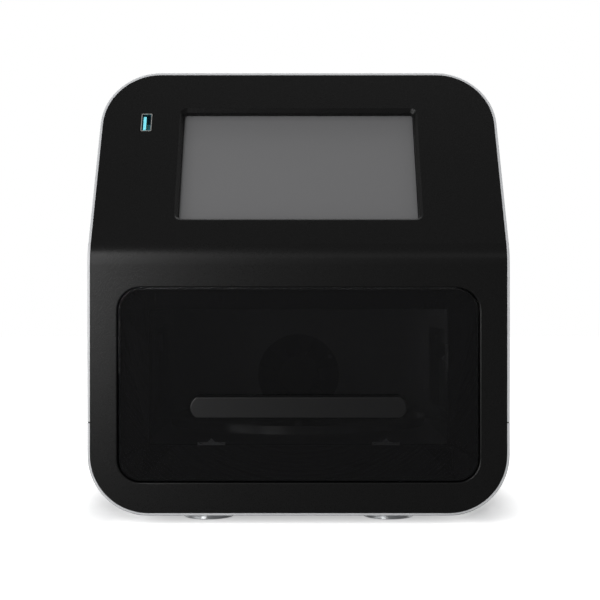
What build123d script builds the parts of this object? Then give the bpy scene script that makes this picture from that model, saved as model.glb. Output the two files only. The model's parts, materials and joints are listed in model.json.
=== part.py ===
from build123d import *

import os
from math import cos, radians, sin, tan

os.makedirs("parts", exist_ok=True)

# Millimetres. X runs to the right seen from the front, the front faces -Y, and the bench is at z = 0.

# Body: a rounded tube of sheet steel, closed in front by a moulding that leans back above a bend
body_width = 265.0
body_depth = 300.0
lower_face_height = 164.9
leaning_rise = 126.3
corner_radius = 38.2
shell_wall = 1.6
rim_rounding = 0.7
foot_height = 6.0
lean_angle = 32.0
bend_radius = 25.0
seam_height = 64.5
seam_gap = 0.4
lap_height = 14.0
lap_wall = 1.0
vent_length = 38.0
vent_width = 3.0
vent_step = 8.0
floor_vents = 5
floor_vent_inset = 70.0

# Front moulding
fascia_wall = 3.0
fascia_gap = 0.25
flange_depth = 14.0
flange_wall = 2.0
reveal_depth = 12.0
reveal_wall = 2.4

# Drawer front
door_side = 18.8
door_lift = 20.9
door_head = 21.8
door_corner = 14.5
door_edge = 1.0
door_gap = 0.5
door_recess = 1.5
door_thickness = 5.0
door_frame_inset = 1.0
door_frame_depth = 6.0
door_bevel = 0.5
window_side = 19.1
window_head = 13.5
tray_clearance = 1.6

# Pull bar
handle_width = 134.6
handle_height = 13.6
handle_depth = 12.0
handle_middle = 74.6
handle_end_radius = 7.9
handle_edge = 1.0
finger_groove_end = 11.3
finger_groove_depth = 5.4
finger_groove_height = 8.6
handle_back_wall = 2.6
handle_screw_inset = 8.3
handle_screw_bite = 6.0
handle_screw_runout = 1.2

# Light metal clips that hold the acrylic to its frame
clip_length = 17.5
clip_thickness = 2.0
clip_spacing = 110.2
side_clip_height = 104.5
gusset_size = 2.4

# Drawer
sheet = 1.5
tray_top = 48.0
skirt_height = 19.0
drawer_slot = 0.4

# Telescopic runners: outer member on the chassis, middle member, inner member on the drawer
runner_height = 17.0
runner_thickness = 12.0
runner_wall = 1.2
runner_play = 0.4
runner_middle_height = 37.5

# Turntable
turntable_end_gap = 10.0
turntable_side_gap = 8.0
turntable_thickness = 2.5
turntable_rim = 3.0
turntable_rim_wall = 2.0
turntable_height = 54.5
turntable_slots = 12
turntable_slot_width = 6.0
turntable_slot_inset = 6.0
turntable_slot_edge = 8.0
hub_diameter = 28.0
shaft_diameter = 7.0
shaft_play = 0.05
shaft_reach = 9.0
bush_diameter = 12.0
bush_flange_diameter = 18.0
bush_flange = 1.5
motor_diameter = 50.0
motor_height = 15.0
motor_ear_spacing = 60.0
motor_ear_width = 10.0

# Curing chamber
chamber_side_bay = 34.5
chamber_head = 2.0
chamber_back_gap = 3.5
liner_wall = 1.5
liner_lift = 1.0
liner_front_gap = 6.5
liner_flange = 12.5
light_window_inset = 45.0
side_window_sill = 17.0
side_window_head = 16.0
top_window_side = 48.0
pane_lap = 4.0
pane_thickness = 3.0

# Light engines: heatsink on legs over each window, with the LED board under its base
engine_overhang = 10.0
leg_height = 8.0
leg_width = 2.5
pane_gap = 0.5
sink_base = 4.0
sink_fin_height = 14.0
sink_fin_width = 1.6
sink_fins = 7
board_thickness = 1.6
led_size = 3.5
led_height = 1.2
led_rows = 3
led_columns = 6

# Fans
fan_size = 80.0
fan_depth = 25.0
fan_wall = 2.0
fan_corner = 4.0
fan_flange = 4.0
barrel_wall = 1.5
hub_rounding = 2.0
fan_hub = 32.0
fan_blades = 7
blade_tip_gap = 3.5
blade_chord = 16.0
blade_thickness = 1.5
root_pitch = 48.0
tip_pitch = 30.0
fan_axle = 4.0
fan_hole_inset = 4.25
fan_screw_bite = 10.0
fan_struts = 4
screw_hole = 4.3
duct_width = 148.0
duct_height = 70.0
duct_bottom = 50.0
mouth_diameter = 64.0
duct_corner = 6.0
duct_slots = 5
duct_slot_length = 22.0
duct_slot_width = 3.0
duct_slot_step = 9.0
duct_slot_inset = 34.0
strut_width = 4.0
strut_depth = 3.0
mouth_height = 82.3

# Rear panel and what it carries
panel_inset = 7.0
panel_wall = 1.5
panel_rim_setback = 0.5
exhaust_side = 70.5
exhaust_height = 130.0
guard_wire = 2.2
guard_thickness = 1.5
guard_rings = 4
inlet_side = 54.5
inlet_height = 36.0
inlet_flange_width = 50.0
inlet_flange_height = 24.0
inlet_flange = 2.5
inlet_body_width = 28.0
inlet_body_height = 20.0
inlet_body_depth = 26.0
inlet_socket_width = 24.0
inlet_socket_height = 15.6
inlet_socket_depth = 18.0
inlet_socket_chamfer = 5.2
inlet_screw_spacing = 40.0
pin_length = 12.0
pin_width = 4.0
pin_thickness = 2.0
pin_spacing = 14.0
pin_offset = 4.0
pin_tail = 6.0
inlet_screw_length = 7.0
rear_screw_length = 7.0
rear_vents = 7
rear_vent_height = 95.0
pan_screw_spacing = 120.0
pan_ear_width = 16.0
pan_ear_height = 14.0
switch_to_inlet = 43.0
switch_height = 36.0
cutout_gap = 0.3
well_depth = 9.0
rocker_pin = 2.4
rocker_sink = 3.0
rocker_rise = 5.0
rocker_dip = 1.0
rocker_foot = 1.5
rocker_taper = 1.0
switch_bezel_width = 21.0
switch_bezel_height = 15.0
switch_bezel = 1.8
switch_body_width = 19.0
switch_body_height = 12.6
switch_body_depth = 16.0
rocker_width = 15.0
rocker_height = 10.0
rocker_gap = 0.4
rocker_tilt = 11.0

# Screw tabs of the rear panel
tab_size = 14.0
tab_low = 105.0
tab_high = 205.0
tab_top_x = 62.0

# Electronics
supply_floor_gap = 2.0
supply_to_fan = 10.0
supply_height = 129.0
supply_depth = 38.0
supply_back_gap = 8.0
supply_front_gap = 3.0
supply_slot_gap = 6.0
supply_slot_inset = 8.0
main_board_width = 150.0
main_board_height = 86.0
main_board_head = 22.5
standoff_height = 8.0
standoff_diameter = 6.0
standoff_inset = 6.0
connector_depth = 8.0
connector_width = 18.5
connector_step = 30.0
connectors = 4
connector_height = 11.0
choke_size = 16.0
capacitor_diameter = 9.6
capacitors = 3
terminal_height = 9.0
terminal_inset = 16.0
terminal_depth = 19.0

# Touch screen on the leaning face
screen_side = 55.1
screen_height = 88.0
screen_middle = 71.4
screen_chamfer = 2.2
screen_corner = 2.5
screen_depth = 5.4
screen_boss = 8.0
gasket_thickness = 0.6
gasket_width = 3.5
glass_thickness = 1.8
glass_lap = 5.0
display_thickness = 6.5
display_lap = 4.0
bracket_thickness = 1.2
bracket_lap = 13.0
bracket_height = 60.0
bracket_post = 7.0
bracket_post_gap = 11.1
bracket_ear = 4.5
bracket_middle = 59.0
bracket_post_spacing_y = 44.0

# USB-A port on the leaning face
usb_side = 30.7
usb_middle = 105.3
usb_width = 7.2
usb_height = 15.0
usb_corner = 0.8
usb_wall = 0.6
usb_depth = 14.0
usb_slot = 0.5
tongue_thickness = 1.9
tongue_height = 11.2
tongue_recess = 1.2
tongue_gap = 0.8
usb_block = 3.0
post_screw_length = 7.0
usb_board_width = 20.0
usb_board_height = 28.0
usb_post = 5.0
usb_post_spacing = 22.5

# Chassis pan
pan_floor_side = 44.5
pan_rail_foot = 24.0
pan_flange = 10.0
pan_front_gap = 16.0

# Feet
foot_diameter = 33.0
foot_spacing = 117.0
foot_inset = 35.0
cup_lift = 0.6
cup_edge = 0.4
pad_diameter = 25.0
pad_thickness = 2.5

# Screws: head and shank
m4_head = 8.0
m4_head_height = 2.2
m4_shank = 4.0
m3_head = 5.6
m3_head_height = 1.8
m3_shank = 3.0
low_head_height = 1.8

# Catch and interlock
catch_width = 8.0
catch_height = 24.0
catch_gap = 5.0
catch_middle = 100.0
magnet_depth = 5.0
seal_width = 4.0
travel_gap = 0.4
sensor_width = 18.0
sensor_height = 6.0
sensor_depth = 7.0

# Places and sizes worked out from the sizes above
lean = radians(lean_angle)
handle_reach = handle_depth - door_recess
overall_depth = body_depth + handle_reach
front_y = handle_reach - overall_depth / 2
rear_y = front_y + body_depth
body_height = lower_face_height + leaning_rise
shell_inset = shell_wall + fascia_gap
shell_bottom = foot_height
shell_top = shell_bottom + body_height
bend_height = shell_bottom + lower_face_height
body_middle = shell_bottom + body_height / 2
floor_top = shell_bottom + shell_wall

door_width = body_width - 2 * door_side
door_height = lower_face_height - door_lift - door_head
door_bottom = shell_bottom + door_lift
door_top = door_bottom + door_height
door_middle = (door_bottom + door_top) / 2
door_face_y = front_y + door_recess
acrylic_back_y = door_face_y + door_thickness
carriage_y = acrylic_back_y + door_frame_depth
window_width = door_width - 2 * window_side
window_top = door_top - window_head
window_bottom = tray_top + tray_clearance
window_middle = (window_bottom + window_top) / 2
handle_screw_spacing = handle_width - 2 * handle_screw_inset
finger_groove_width = handle_width - 2 * finger_groove_end

panel_back_y = rear_y - panel_inset
panel_rim = panel_inset - panel_rim_setback
panel_front_y = panel_back_y - panel_wall
rear_bay = fan_depth + supply_front_gap + supply_depth + supply_back_gap
liner_back_y = panel_front_y - rear_bay - liner_wall
tray_depth = liner_back_y - chamber_back_gap - carriage_y
tray_middle_y = carriage_y + tray_depth / 2
liner_front_y = carriage_y + liner_front_gap
chamber_width = body_width - 2 * chamber_side_bay
chamber_top = window_top + chamber_head
liner_half = chamber_width / 2
liner_bottom = tray_top + liner_lift
turntable_diameter = min(tray_depth - 2 * turntable_end_gap, chamber_width - 2 * turntable_side_gap)
light_window_length = tray_depth - 2 * light_window_inset
side_window_height = chamber_top - side_window_head - liner_bottom - side_window_sill
side_window_middle = liner_bottom + side_window_sill + side_window_height / 2
top_window_width = chamber_width - 2 * top_window_side
engine_length = light_window_length + 2 * engine_overhang
catch_x = liner_half + catch_gap + catch_width / 2

pan_top = liner_bottom
pan_front_y = front_y + pan_front_gap
pan_floor_width = body_width - 2 * pan_floor_side
tray_half = liner_half + drawer_slot
rail_inner = tray_half + runner_thickness
rail_outer = rail_inner + sheet
runner_length = tray_depth
pan_screws = [(side * pan_screw_spacing / 2, floor_top + sheet + pan_ear_height / 2) for side in (-1, 1)]
tab_screw_x = body_width / 2 - shell_inset - panel_wall - tab_size / 2
tab_screw_heights = (tab_low, tab_high)
tab_top_height = shell_top - shell_inset - panel_wall - tab_size / 2

fan_bore = fan_size - 2 * fan_wall
fan_hole_spacing = fan_size - 2 * fan_hole_inset
exhaust_x = body_width / 2 - exhaust_side
inlet_x = body_width / 2 - inlet_side
switch_x = inlet_x - switch_to_inlet
supply_left = supply_floor_gap - pan_floor_width / 2
supply_right = exhaust_x - fan_size / 2 - supply_to_fan
supply_width = supply_right - supply_left
supply_x = (supply_left + supply_right) / 2
main_board_middle = shell_top - main_board_head - main_board_height / 2

screen_width = body_width - 2 * screen_side
bracket_post_spacing_x = screen_width + 2 * bracket_post_gap
usb_x = usb_side - body_width / 2
slope = Plane(origin=(0, front_y, bend_height), x_dir=(1, 0, 0), z_dir=(0, -cos(lean), sin(lean)))


def write(piece, name):
    """Name a finished piece and write its STEP file."""
    piece.part.label = name
    export_step(piece.part, f"parts/{name}.step")


def body_outline(inset, y):
    """Rounded outline of the body seen from the front, `inset` inside its skin, at depth y."""
    with BuildSketch(Plane.XZ.offset(-y)) as outline:
        with Locations((0, body_middle)):
            RectangleRounded(body_width - 2 * inset, body_height - 2 * inset, corner_radius - inset)
    return outline.sketch


def behind_front(setback):
    """Side section of all that lies `setback` or more behind the front face with its bend."""
    start_y = front_y + setback
    crease = bend_height - setback * tan(lean / 2)
    rise = body_height
    with BuildSketch(Plane.YZ) as section:
        with BuildLine():
            face = FilletPolyline(
                (start_y, -rise), (start_y, crease), (start_y + rise * tan(lean), crease + rise),
                radius=max(bend_radius - setback, shell_wall),
            )
            Polyline(face @ 1, (rear_y + rise, crease + rise), (rear_y + rise, -rise), face @ 0)
        make_face()
    return section.sketch


def door_outline(inset, y):
    """Outline of the drawer opening, `inset` inside its edge, at depth y."""
    with BuildSketch(Plane.XZ.offset(-y)) as outline:
        with Locations((0, door_middle)):
            RectangleRounded(door_width - 2 * inset, door_height - 2 * inset, door_corner - inset)
    return outline.sketch


def block(x, y, z, mode=Mode.ADD):
    """Plain block between pairs of x, y and z limits, in the part being built."""
    with Locations(((x[0] + x[1]) / 2, (y[0] + y[1]) / 2, (z[0] + z[1]) / 2)):
        return Box(x[1] - x[0], y[1] - y[0], z[1] - z[0], mode=mode)


def screw(head_plane, head, head_height, shank, length):
    """Pan-head screw: the head stands on the plane, the shank goes down from it."""
    with BuildSketch(head_plane) as head_circle:
        Circle(head / 2)
    extrude(head_circle.sketch, amount=head_height)
    with BuildSketch(head_plane) as shank_circle:
        Circle(shank / 2)
    extrude(shank_circle.sketch, amount=-length)


# Sheet shell: one wrapped tube with a softened front rim, split at the seam into a cover and a floor pan.
# Its three foremost faces are the lower face, the bend and the leaning face
with BuildPart() as shell_tube:
    extrude(body_outline(0, rear_y), amount=body_depth)
    extrude(behind_front(0), amount=body_width, both=True, mode=Mode.INTERSECT)
    front_faces = shell_tube.faces().sort_by(Axis.Y)[:3]
    fillet(front_faces.edges().filter_by(lambda edge: edge.length < body_width - shell_wall), rim_rounding)
    extrude(body_outline(shell_wall, rear_y), amount=body_depth, mode=Mode.SUBTRACT)


# Cover, with tabs turned in behind the rear panel for its screws
side_screws = [(side * tab_screw_x, height) for side in (-1, 1) for height in tab_screw_heights]
top_screws = [(side * tab_top_x, tab_top_height) for side in (-1, 1)]
with BuildPart() as upper_shell:
    add(shell_tube.part)
    split(bisect_by=Plane.XY.offset(seam_height + seam_gap / 2), keep=Keep.TOP)
    with BuildSketch(Plane.XZ.offset(-panel_front_y)):
        for x, z in side_screws:
            with Locations((x + (tab_size / 2 if x > 0 else -tab_size / 2), z)):
                Rectangle(2 * tab_size, tab_size)
        for x, z in top_screws:
            with Locations((x, z + tab_size / 2)):
                Rectangle(tab_size, 2 * tab_size)
        add(body_outline(shell_wall / 2, panel_front_y), mode=Mode.INTERSECT)
        with Locations(*side_screws, *top_screws):
            Circle(screw_hole / 2, mode=Mode.SUBTRACT)
    extrude(amount=sheet)
write(upper_shell, "upper_shell")

# Floor pan of the shell: a lap strip inside the seam, cooling slots and holes for the feet
feet = [(side * foot_spacing / 2, y) for side in (-1, 1) for y in (front_y + foot_inset, rear_y - foot_inset)]
with BuildPart() as lower_shell:
    add(shell_tube.part)
    split(bisect_by=Plane.XY.offset(seam_height - seam_gap / 2), keep=Keep.BOTTOM)
    lap_y = (front_y + flange_depth + fascia_wall, panel_front_y - sheet - lap_wall)
    lap_z = (seam_height - lap_height / 2, seam_height + lap_height / 2)
    for side in (-1, 1):
        lap_x = side * (body_width / 2 - shell_wall - lap_wall / 2)
        block((lap_x - lap_wall / 2, lap_x + lap_wall / 2), lap_y, lap_z)
    with BuildSketch(Plane.XY.offset(shell_bottom)):
        with Locations((0, tray_middle_y), (0, rear_y - floor_vent_inset)):
            with GridLocations(0, vent_step, 1, floor_vents):
                SlotOverall(vent_length, vent_width)
        with Locations(*feet):
            Circle(screw_hole / 2)
    extrude(amount=shell_wall, mode=Mode.SUBTRACT)
write(lower_shell, "lower_shell")

# Front moulding: bent plate with a rim flange, a reveal round the drawer opening and a screen surround
slope_posts = [(side_x * bracket_post_spacing_x / 2, bracket_middle + side_y * bracket_post_spacing_y / 2)
               for side_x in (-1, 1) for side_y in (-1, 1)]
usb_posts = [(usb_x, usb_middle + side * usb_post_spacing / 2) for side in (-1, 1)]
bracket_seat = screen_depth + gasket_thickness + glass_thickness + display_thickness
with BuildPart() as fascia_hollow:
    extrude(body_outline(shell_inset + flange_wall, rear_y), amount=body_depth)
    extrude(behind_front(fascia_wall), amount=body_width, both=True, mode=Mode.INTERSECT)
with BuildPart() as front_fascia:
    extrude(body_outline(shell_inset, rear_y), amount=body_depth)
    extrude(behind_front(0), amount=body_width, both=True, mode=Mode.INTERSECT)
    add(fascia_hollow.part, mode=Mode.SUBTRACT)
    extrude(behind_front(flange_depth), amount=body_width, both=True, mode=Mode.SUBTRACT)
    extrude(door_outline(-reveal_wall, front_y + reveal_depth), amount=reveal_depth - fascia_wall / 2)
    with BuildSketch(slope.offset(-screen_depth)):
        with Locations((0, screen_middle)):
            RectangleRounded(screen_width + 2 * screen_boss, screen_height + 2 * screen_boss,
                             screen_corner + screen_boss)
    extrude(amount=screen_depth - fascia_wall / 2)
    with BuildSketch(slope.offset(-bracket_seat)):
        with Locations(*slope_posts):
            Circle(bracket_post / 2)
    extrude(amount=bracket_seat - fascia_wall / 2)
    with BuildSketch(slope.offset(-usb_depth)):
        with Locations(*usb_posts):
            Circle(usb_post / 2)
    extrude(amount=usb_depth - fascia_wall / 2)
    for places, depth in ((slope_posts, bracket_seat), (usb_posts, usb_depth)):
        with BuildSketch(slope.offset(-depth)):
            with Locations(*places):
                Circle(m3_shank / 2)
        extrude(amount=post_screw_length, mode=Mode.SUBTRACT)
    extrude(door_outline(0, front_y + reveal_depth), amount=reveal_depth, mode=Mode.SUBTRACT)
    with BuildSketch(slope):
        with Locations((0, screen_middle)):
            RectangleRounded(screen_width, screen_height, screen_corner)
        with Locations((usb_x, usb_middle)):
            RectangleRounded(usb_width + 2 * usb_slot, usb_height + 2 * usb_slot, usb_corner)
    extrude(amount=-bracket_seat, mode=Mode.SUBTRACT)
    lower_face = front_fascia.faces().filter_by(Plane.XZ).sort_by(Axis.Y)[0]
    fillet(lower_face.inner_wires()[0].edges(), door_edge)
    leaning_face = front_fascia.faces().filter_by(slope).sort_by(Axis(slope.origin, slope.z_dir))[-1]
    chamfer(leaning_face.inner_wires().sort_by(lambda wire: wire.length)[-1].edges(), screen_chamfer)
write(front_fascia, "front_fascia")

# Drawer front: acrylic panel with rounded edges
with BuildPart() as door_panel:
    extrude(door_outline(door_gap, acrylic_back_y), amount=door_thickness)
    fillet(door_panel.faces().sort_by(Axis.Y)[0].edges(), door_bevel)
    with BuildSketch(Plane.XZ.offset(-acrylic_back_y)):
        with Locations((0, handle_middle)):
            with GridLocations(handle_screw_spacing, 0, 2, 1):
                Circle(screw_hole / 2)
    extrude(amount=door_thickness, mode=Mode.SUBTRACT)
write(door_panel, "door_panel")

# Frame behind the acrylic, open at the window
with BuildPart() as door_frame:
    extrude(door_outline(door_gap + door_frame_inset, carriage_y), amount=door_frame_depth)
    with BuildSketch(Plane.XZ.offset(-carriage_y)):
        with Locations((0, window_middle)):
            Rectangle(window_width, window_top - window_bottom)
    extrude(amount=door_frame_depth, mode=Mode.SUBTRACT)
write(door_frame, "door_frame")

# Light metal clips at the window: two below, one at the right, each with a gusset at mid-length
def clip(middle, turn):
    """One clip standing on the window's edge at `middle`, turned in the plane of the front."""
    with BuildSketch(Plane.XZ.offset(-carriage_y)) as profile:
        with Locations(Location((middle[0], middle[1], 0), (0, 0, turn))):
            with Locations((0, clip_thickness / 2)):
                Rectangle(clip_length, clip_thickness)
            Polygon((-gusset_size, clip_thickness), (gusset_size, clip_thickness),
                    (0, clip_thickness + gusset_size), align=None)
    extrude(profile.sketch, amount=door_frame_depth)


with BuildPart() as panel_clips:
    for side in (-1, 1):
        clip((side * clip_spacing / 2, window_bottom), 0)
    clip((window_width / 2, side_clip_height), 90)
write(panel_clips, "panel_clips")

# Pull bar with arched ends and a finger groove from below
handle_top = handle_middle + handle_height / 2
handle_bottom = handle_middle - handle_height / 2
with BuildPart() as pull_handle:
    with BuildSketch(Plane.XZ.offset(-door_face_y)):
        end_rise = handle_end_radius - (handle_end_radius**2 - (handle_height / 2)**2) ** 0.5
        straight = handle_width / 2 - end_rise
        with BuildLine():
            top = Line((-straight, handle_top), (straight, handle_top))
            right = ThreePointArc(top @ 1, (handle_width / 2, handle_middle), (straight, handle_bottom))
            bottom = Line(right @ 1, (-straight, handle_bottom))
            ThreePointArc(bottom @ 1, (-handle_width / 2, handle_middle), top @ 0)
        make_face()
    extrude(amount=handle_depth)
    fillet(pull_handle.faces().sort_by(Axis.Y)[0].edges(), handle_edge)
    block((-finger_groove_width / 2, finger_groove_width / 2),
          (door_face_y - handle_back_wall - finger_groove_depth, door_face_y - handle_back_wall),
          (handle_bottom, handle_bottom + finger_groove_height), Mode.SUBTRACT)
    with BuildSketch(Plane.XZ.offset(-door_face_y)):
        with Locations((0, handle_middle)):
            with GridLocations(handle_screw_spacing, 0, 2, 1):
                Circle(m4_shank / 2)
    extrude(amount=handle_screw_bite + handle_screw_runout, mode=Mode.SUBTRACT)
write(pull_handle, "pull_handle")

with BuildPart() as handle_screws:
    for side in (-1, 1):
        place = (side * handle_screw_spacing / 2, acrylic_back_y, handle_middle)
        screw(Plane(place, z_dir=(0, 1, 0)), m4_head, m4_head_height, m4_shank,
              door_thickness + handle_screw_bite)
write(handle_screws, "handle_screws")

# Drawer tray: a sheet table with side skirts that the runners carry
with BuildPart() as drawer_tray:
    block((-tray_half, tray_half), (carriage_y, carriage_y + tray_depth), (tray_top - skirt_height, tray_top))
    block((-tray_half + sheet, tray_half - sheet), (carriage_y, carriage_y + tray_depth),
          (tray_top - skirt_height, tray_top - sheet), Mode.SUBTRACT)
    with BuildSketch(Plane.XY.offset(tray_top)):
        with Locations((0, tray_middle_y)):
            Circle(bush_diameter / 2)
            with GridLocations(motor_ear_spacing, 0, 2, 1):
                Circle(m3_shank / 2)
    extrude(amount=-sheet, mode=Mode.SUBTRACT)
write(drawer_tray, "drawer_tray")

# Runners: three channels a side, one inside the other, with play between them
def channel(side, y_start, depths, play, web_at_rail):
    """Runner member between two depths from the chassis rail, `play` inside the outer member's height."""
    rail_face, drawer_face = (side * (rail_inner - depth) for depth in depths)
    web = side * runner_wall
    hollow = (rail_face - web, drawer_face) if web_at_rail else (rail_face, drawer_face + web)
    y_ends = (y_start, y_start + runner_length)
    bottom = runner_middle_height - runner_height / 2 + play
    top = runner_middle_height + runner_height / 2 - play
    block(sorted((rail_face, drawer_face)), y_ends, (bottom, top))
    block(sorted(hollow), y_ends, (bottom + runner_wall, top - runner_wall), Mode.SUBTRACT)


step = runner_wall + runner_play
for side, end in ((-1, "left"), (1, "right")):
    with BuildPart() as runner_outer:
        channel(side, pan_front_y, (0, runner_thickness - step), 0, True)
    write(runner_outer, f"runner_outer_{end}")
    with BuildPart() as runner_middle:
        channel(side, pan_front_y, (step, runner_thickness - step), step, True)
    write(runner_middle, f"runner_middle_{end}")
    with BuildPart() as runner_inner:
        channel(side, carriage_y, (2 * step, runner_thickness), 2 * step, False)
    write(runner_inner, f"runner_inner_{end}")

# Turntable motor: flat gear motor with two ears under the tray
shaft_axis = (0, tray_middle_y)
with BuildPart() as turntable_motor:
    with BuildSketch(Plane.XY.offset(tray_top - sheet)):
        with Locations(shaft_axis):
            SlotCenterToCenter(motor_ear_spacing, motor_ear_width)
            with GridLocations(motor_ear_spacing, 0, 2, 1):
                Circle(m3_shank / 2, mode=Mode.SUBTRACT)
    extrude(amount=-sheet)
    with BuildSketch(Plane.XY.offset(tray_top - sheet)):
        with Locations(shaft_axis):
            Circle(motor_diameter / 2)
    extrude(amount=-motor_height)
    chamfer(turntable_motor.faces().sort_by(Axis.Z)[0].edges(), sheet / 2)
    with BuildSketch(Plane.XY.offset(tray_top - sheet)):
        with Locations(shaft_axis):
            Circle(shaft_diameter / 2 + shaft_play)
    extrude(amount=-shaft_reach - shaft_play, mode=Mode.SUBTRACT)
write(turntable_motor, "turntable_motor")

with BuildPart() as motor_screws:
    for side in (-1, 1):
        place = (side * motor_ear_spacing / 2, tray_middle_y, tray_top)
        screw(Plane(place), m3_head, m3_head_height, m3_shank, 2 * sheet)
write(motor_screws, "motor_screws")

# Flanged bush in the tray, bored for the turntable shaft
with BuildPart() as bearing_bush:
    with BuildSketch(Plane.XY.offset(tray_top - sheet)):
        with Locations(shaft_axis):
            Circle(bush_diameter / 2)
    extrude(amount=sheet)
    with BuildSketch(Plane.XY.offset(tray_top)):
        with Locations(shaft_axis):
            Circle(bush_flange_diameter / 2)
    extrude(amount=bush_flange)
    with BuildSketch(Plane.XY.offset(tray_top - sheet)):
        with Locations(shaft_axis):
            Circle(shaft_diameter / 2 + shaft_play)
    extrude(amount=sheet + bush_flange, mode=Mode.SUBTRACT)
write(bearing_bush, "bearing_bush")

# Turntable hub with its shaft, and the slotted plate on top
hub_bottom = tray_top + bush_flange + travel_gap
with BuildPart() as turntable_hub:
    with BuildSketch(Plane.XY.offset(hub_bottom)):
        with Locations(shaft_axis):
            Circle(hub_diameter / 2)
    extrude(amount=turntable_height - hub_bottom)
    with BuildSketch(Plane.XY.offset(hub_bottom)):
        with Locations(shaft_axis):
            Circle(shaft_diameter / 2)
    extrude(amount=-(hub_bottom - (tray_top - sheet - shaft_reach + travel_gap)))
write(turntable_hub, "turntable_hub")

slot_inner = hub_diameter / 2 + turntable_slot_inset
slot_outer = turntable_diameter / 2 - turntable_slot_edge
with BuildPart() as turntable_plate:
    with BuildSketch(Plane.XY.offset(turntable_height)):
        with Locations(shaft_axis):
            Circle(turntable_diameter / 2)
            with PolarLocations((slot_inner + slot_outer) / 2, turntable_slots):
                SlotOverall(slot_outer - slot_inner, turntable_slot_width, mode=Mode.SUBTRACT)
    extrude(amount=turntable_thickness)
    with BuildSketch(Plane.XY.offset(turntable_height + turntable_thickness)):
        with Locations(shaft_axis):
            Circle(turntable_diameter / 2)
            Circle(turntable_diameter / 2 - turntable_rim_wall, mode=Mode.SUBTRACT)
    extrude(amount=turntable_rim)
write(turntable_plate, "turntable_plate")

# Rubber seal on the frame's back, round the top and sides of the window
seal_outlines = ((liner_half, chamber_top), (liner_half + seal_width, chamber_top + seal_width))
with BuildPart() as door_seal:
    with BuildSketch(Plane.XZ.offset(-(liner_front_y - travel_gap))):
        with BuildLine():
            for half, top in seal_outlines:
                Polyline((-half, liner_bottom), (-half, top), (half, top), (half, liner_bottom))
            for side in (-1, 1):
                Line((side * liner_half, liner_bottom), (side * (liner_half + seal_width), liner_bottom))
        make_face()
    extrude(amount=liner_front_gap - travel_gap)
write(door_seal, "door_seal")

# Chassis pan: a folded sheet channel whose rails carry the runners and the chamber
with BuildPart() as base_frame:
    pan_length = panel_front_y - pan_front_y
    with BuildSketch(Plane.XZ.offset(-panel_front_y)):
        with BuildLine():
            foot = pan_floor_width / 2
            middle = sheet / 2
            Polyline(
                (-rail_outer - pan_flange, pan_top - middle), (-rail_outer + middle, pan_top - middle),
                (-rail_outer + middle, pan_rail_foot), (-foot, floor_top + middle),
                (foot, floor_top + middle), (rail_outer - middle, pan_rail_foot),
                (rail_outer - middle, pan_top - middle), (rail_outer + pan_flange, pan_top - middle),
            )
            offset(amount=middle, side=Side.BOTH, kind=Kind.INTERSECTION)
        make_face()
    extrude(amount=pan_length)
    for x, z in pan_screws:
        block((x - pan_ear_width / 2, x + pan_ear_width / 2), (panel_front_y - sheet, panel_front_y),
              (floor_top, z + pan_ear_height / 2))
    with BuildSketch(Plane.XZ.offset(-panel_front_y)):
        with Locations(*pan_screws):
            Circle(m4_shank / 2)
    extrude(amount=sheet, mode=Mode.SUBTRACT)
    with BuildSketch(Plane.XY.offset(floor_top)):
        with Locations(*feet):
            Circle(m4_shank / 2)
    extrude(amount=sheet, mode=Mode.SUBTRACT)
write(base_frame, "base_frame")

# Curing chamber: bright sheet hood, open in front and below, with flanges in front and on the pan's rails
liner_outer = liner_half + liner_wall
mouth_middle = (0, mouth_height)
with BuildPart() as chamber_liner:
    block((-liner_outer, liner_outer), (liner_front_y, liner_back_y + liner_wall),
          (liner_bottom, chamber_top + liner_wall))
    block((-liner_half, liner_half), (liner_front_y, liner_back_y), (liner_bottom, chamber_top),
          Mode.SUBTRACT)
    for side in (-1, 1):
        flange_x = sorted((side * liner_outer, side * (rail_outer + pan_flange)))
        block(flange_x, (liner_front_y, liner_back_y), (liner_bottom, liner_bottom + liner_wall))
    with BuildSketch(Plane.XZ.offset(-liner_front_y)):
        with Locations((0, liner_bottom)):
            Rectangle(2 * (liner_half + liner_flange), chamber_top - liner_bottom + liner_flange,
                      align=(Align.CENTER, Align.MIN))
            Rectangle(chamber_width, chamber_top - liner_bottom, align=(Align.CENTER, Align.MIN),
                      mode=Mode.SUBTRACT)
    extrude(amount=-liner_wall)
    with BuildSketch(Plane.YZ):
        with Locations((tray_middle_y, side_window_middle)):
            Rectangle(light_window_length, side_window_height)
    extrude(amount=liner_outer, both=True, mode=Mode.SUBTRACT)
    with BuildSketch(Plane.XY.offset(chamber_top)):
        with Locations((0, tray_middle_y)):
            Rectangle(top_window_width, light_window_length)
    extrude(amount=liner_wall, mode=Mode.SUBTRACT)
    with BuildSketch(Plane.XZ.offset(-liner_back_y - liner_wall)):
        with Locations(mouth_middle):
            Rectangle(mouth_diameter, mouth_diameter)
    extrude(amount=liner_wall, mode=Mode.SUBTRACT)
write(chamber_liner, "chamber_liner")

# Duct plate on the chamber's rear wall, with the fan's round mouth and a column of slots each side of it
with BuildPart() as air_duct_plate:
    with BuildSketch(Plane.XZ.offset(-liner_back_y)):
        with Locations((0, duct_bottom + duct_height / 2)):
            RectangleRounded(duct_width, duct_height, duct_corner)
            with GridLocations(duct_width - duct_slot_inset, duct_slot_step, 2, duct_slots):
                SlotOverall(duct_slot_length, duct_slot_width, mode=Mode.SUBTRACT)
        with Locations(mouth_middle):
            Circle(mouth_diameter / 2, mode=Mode.SUBTRACT)
    extrude(amount=liner_wall)
write(air_duct_plate, "air_duct_plate")

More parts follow.
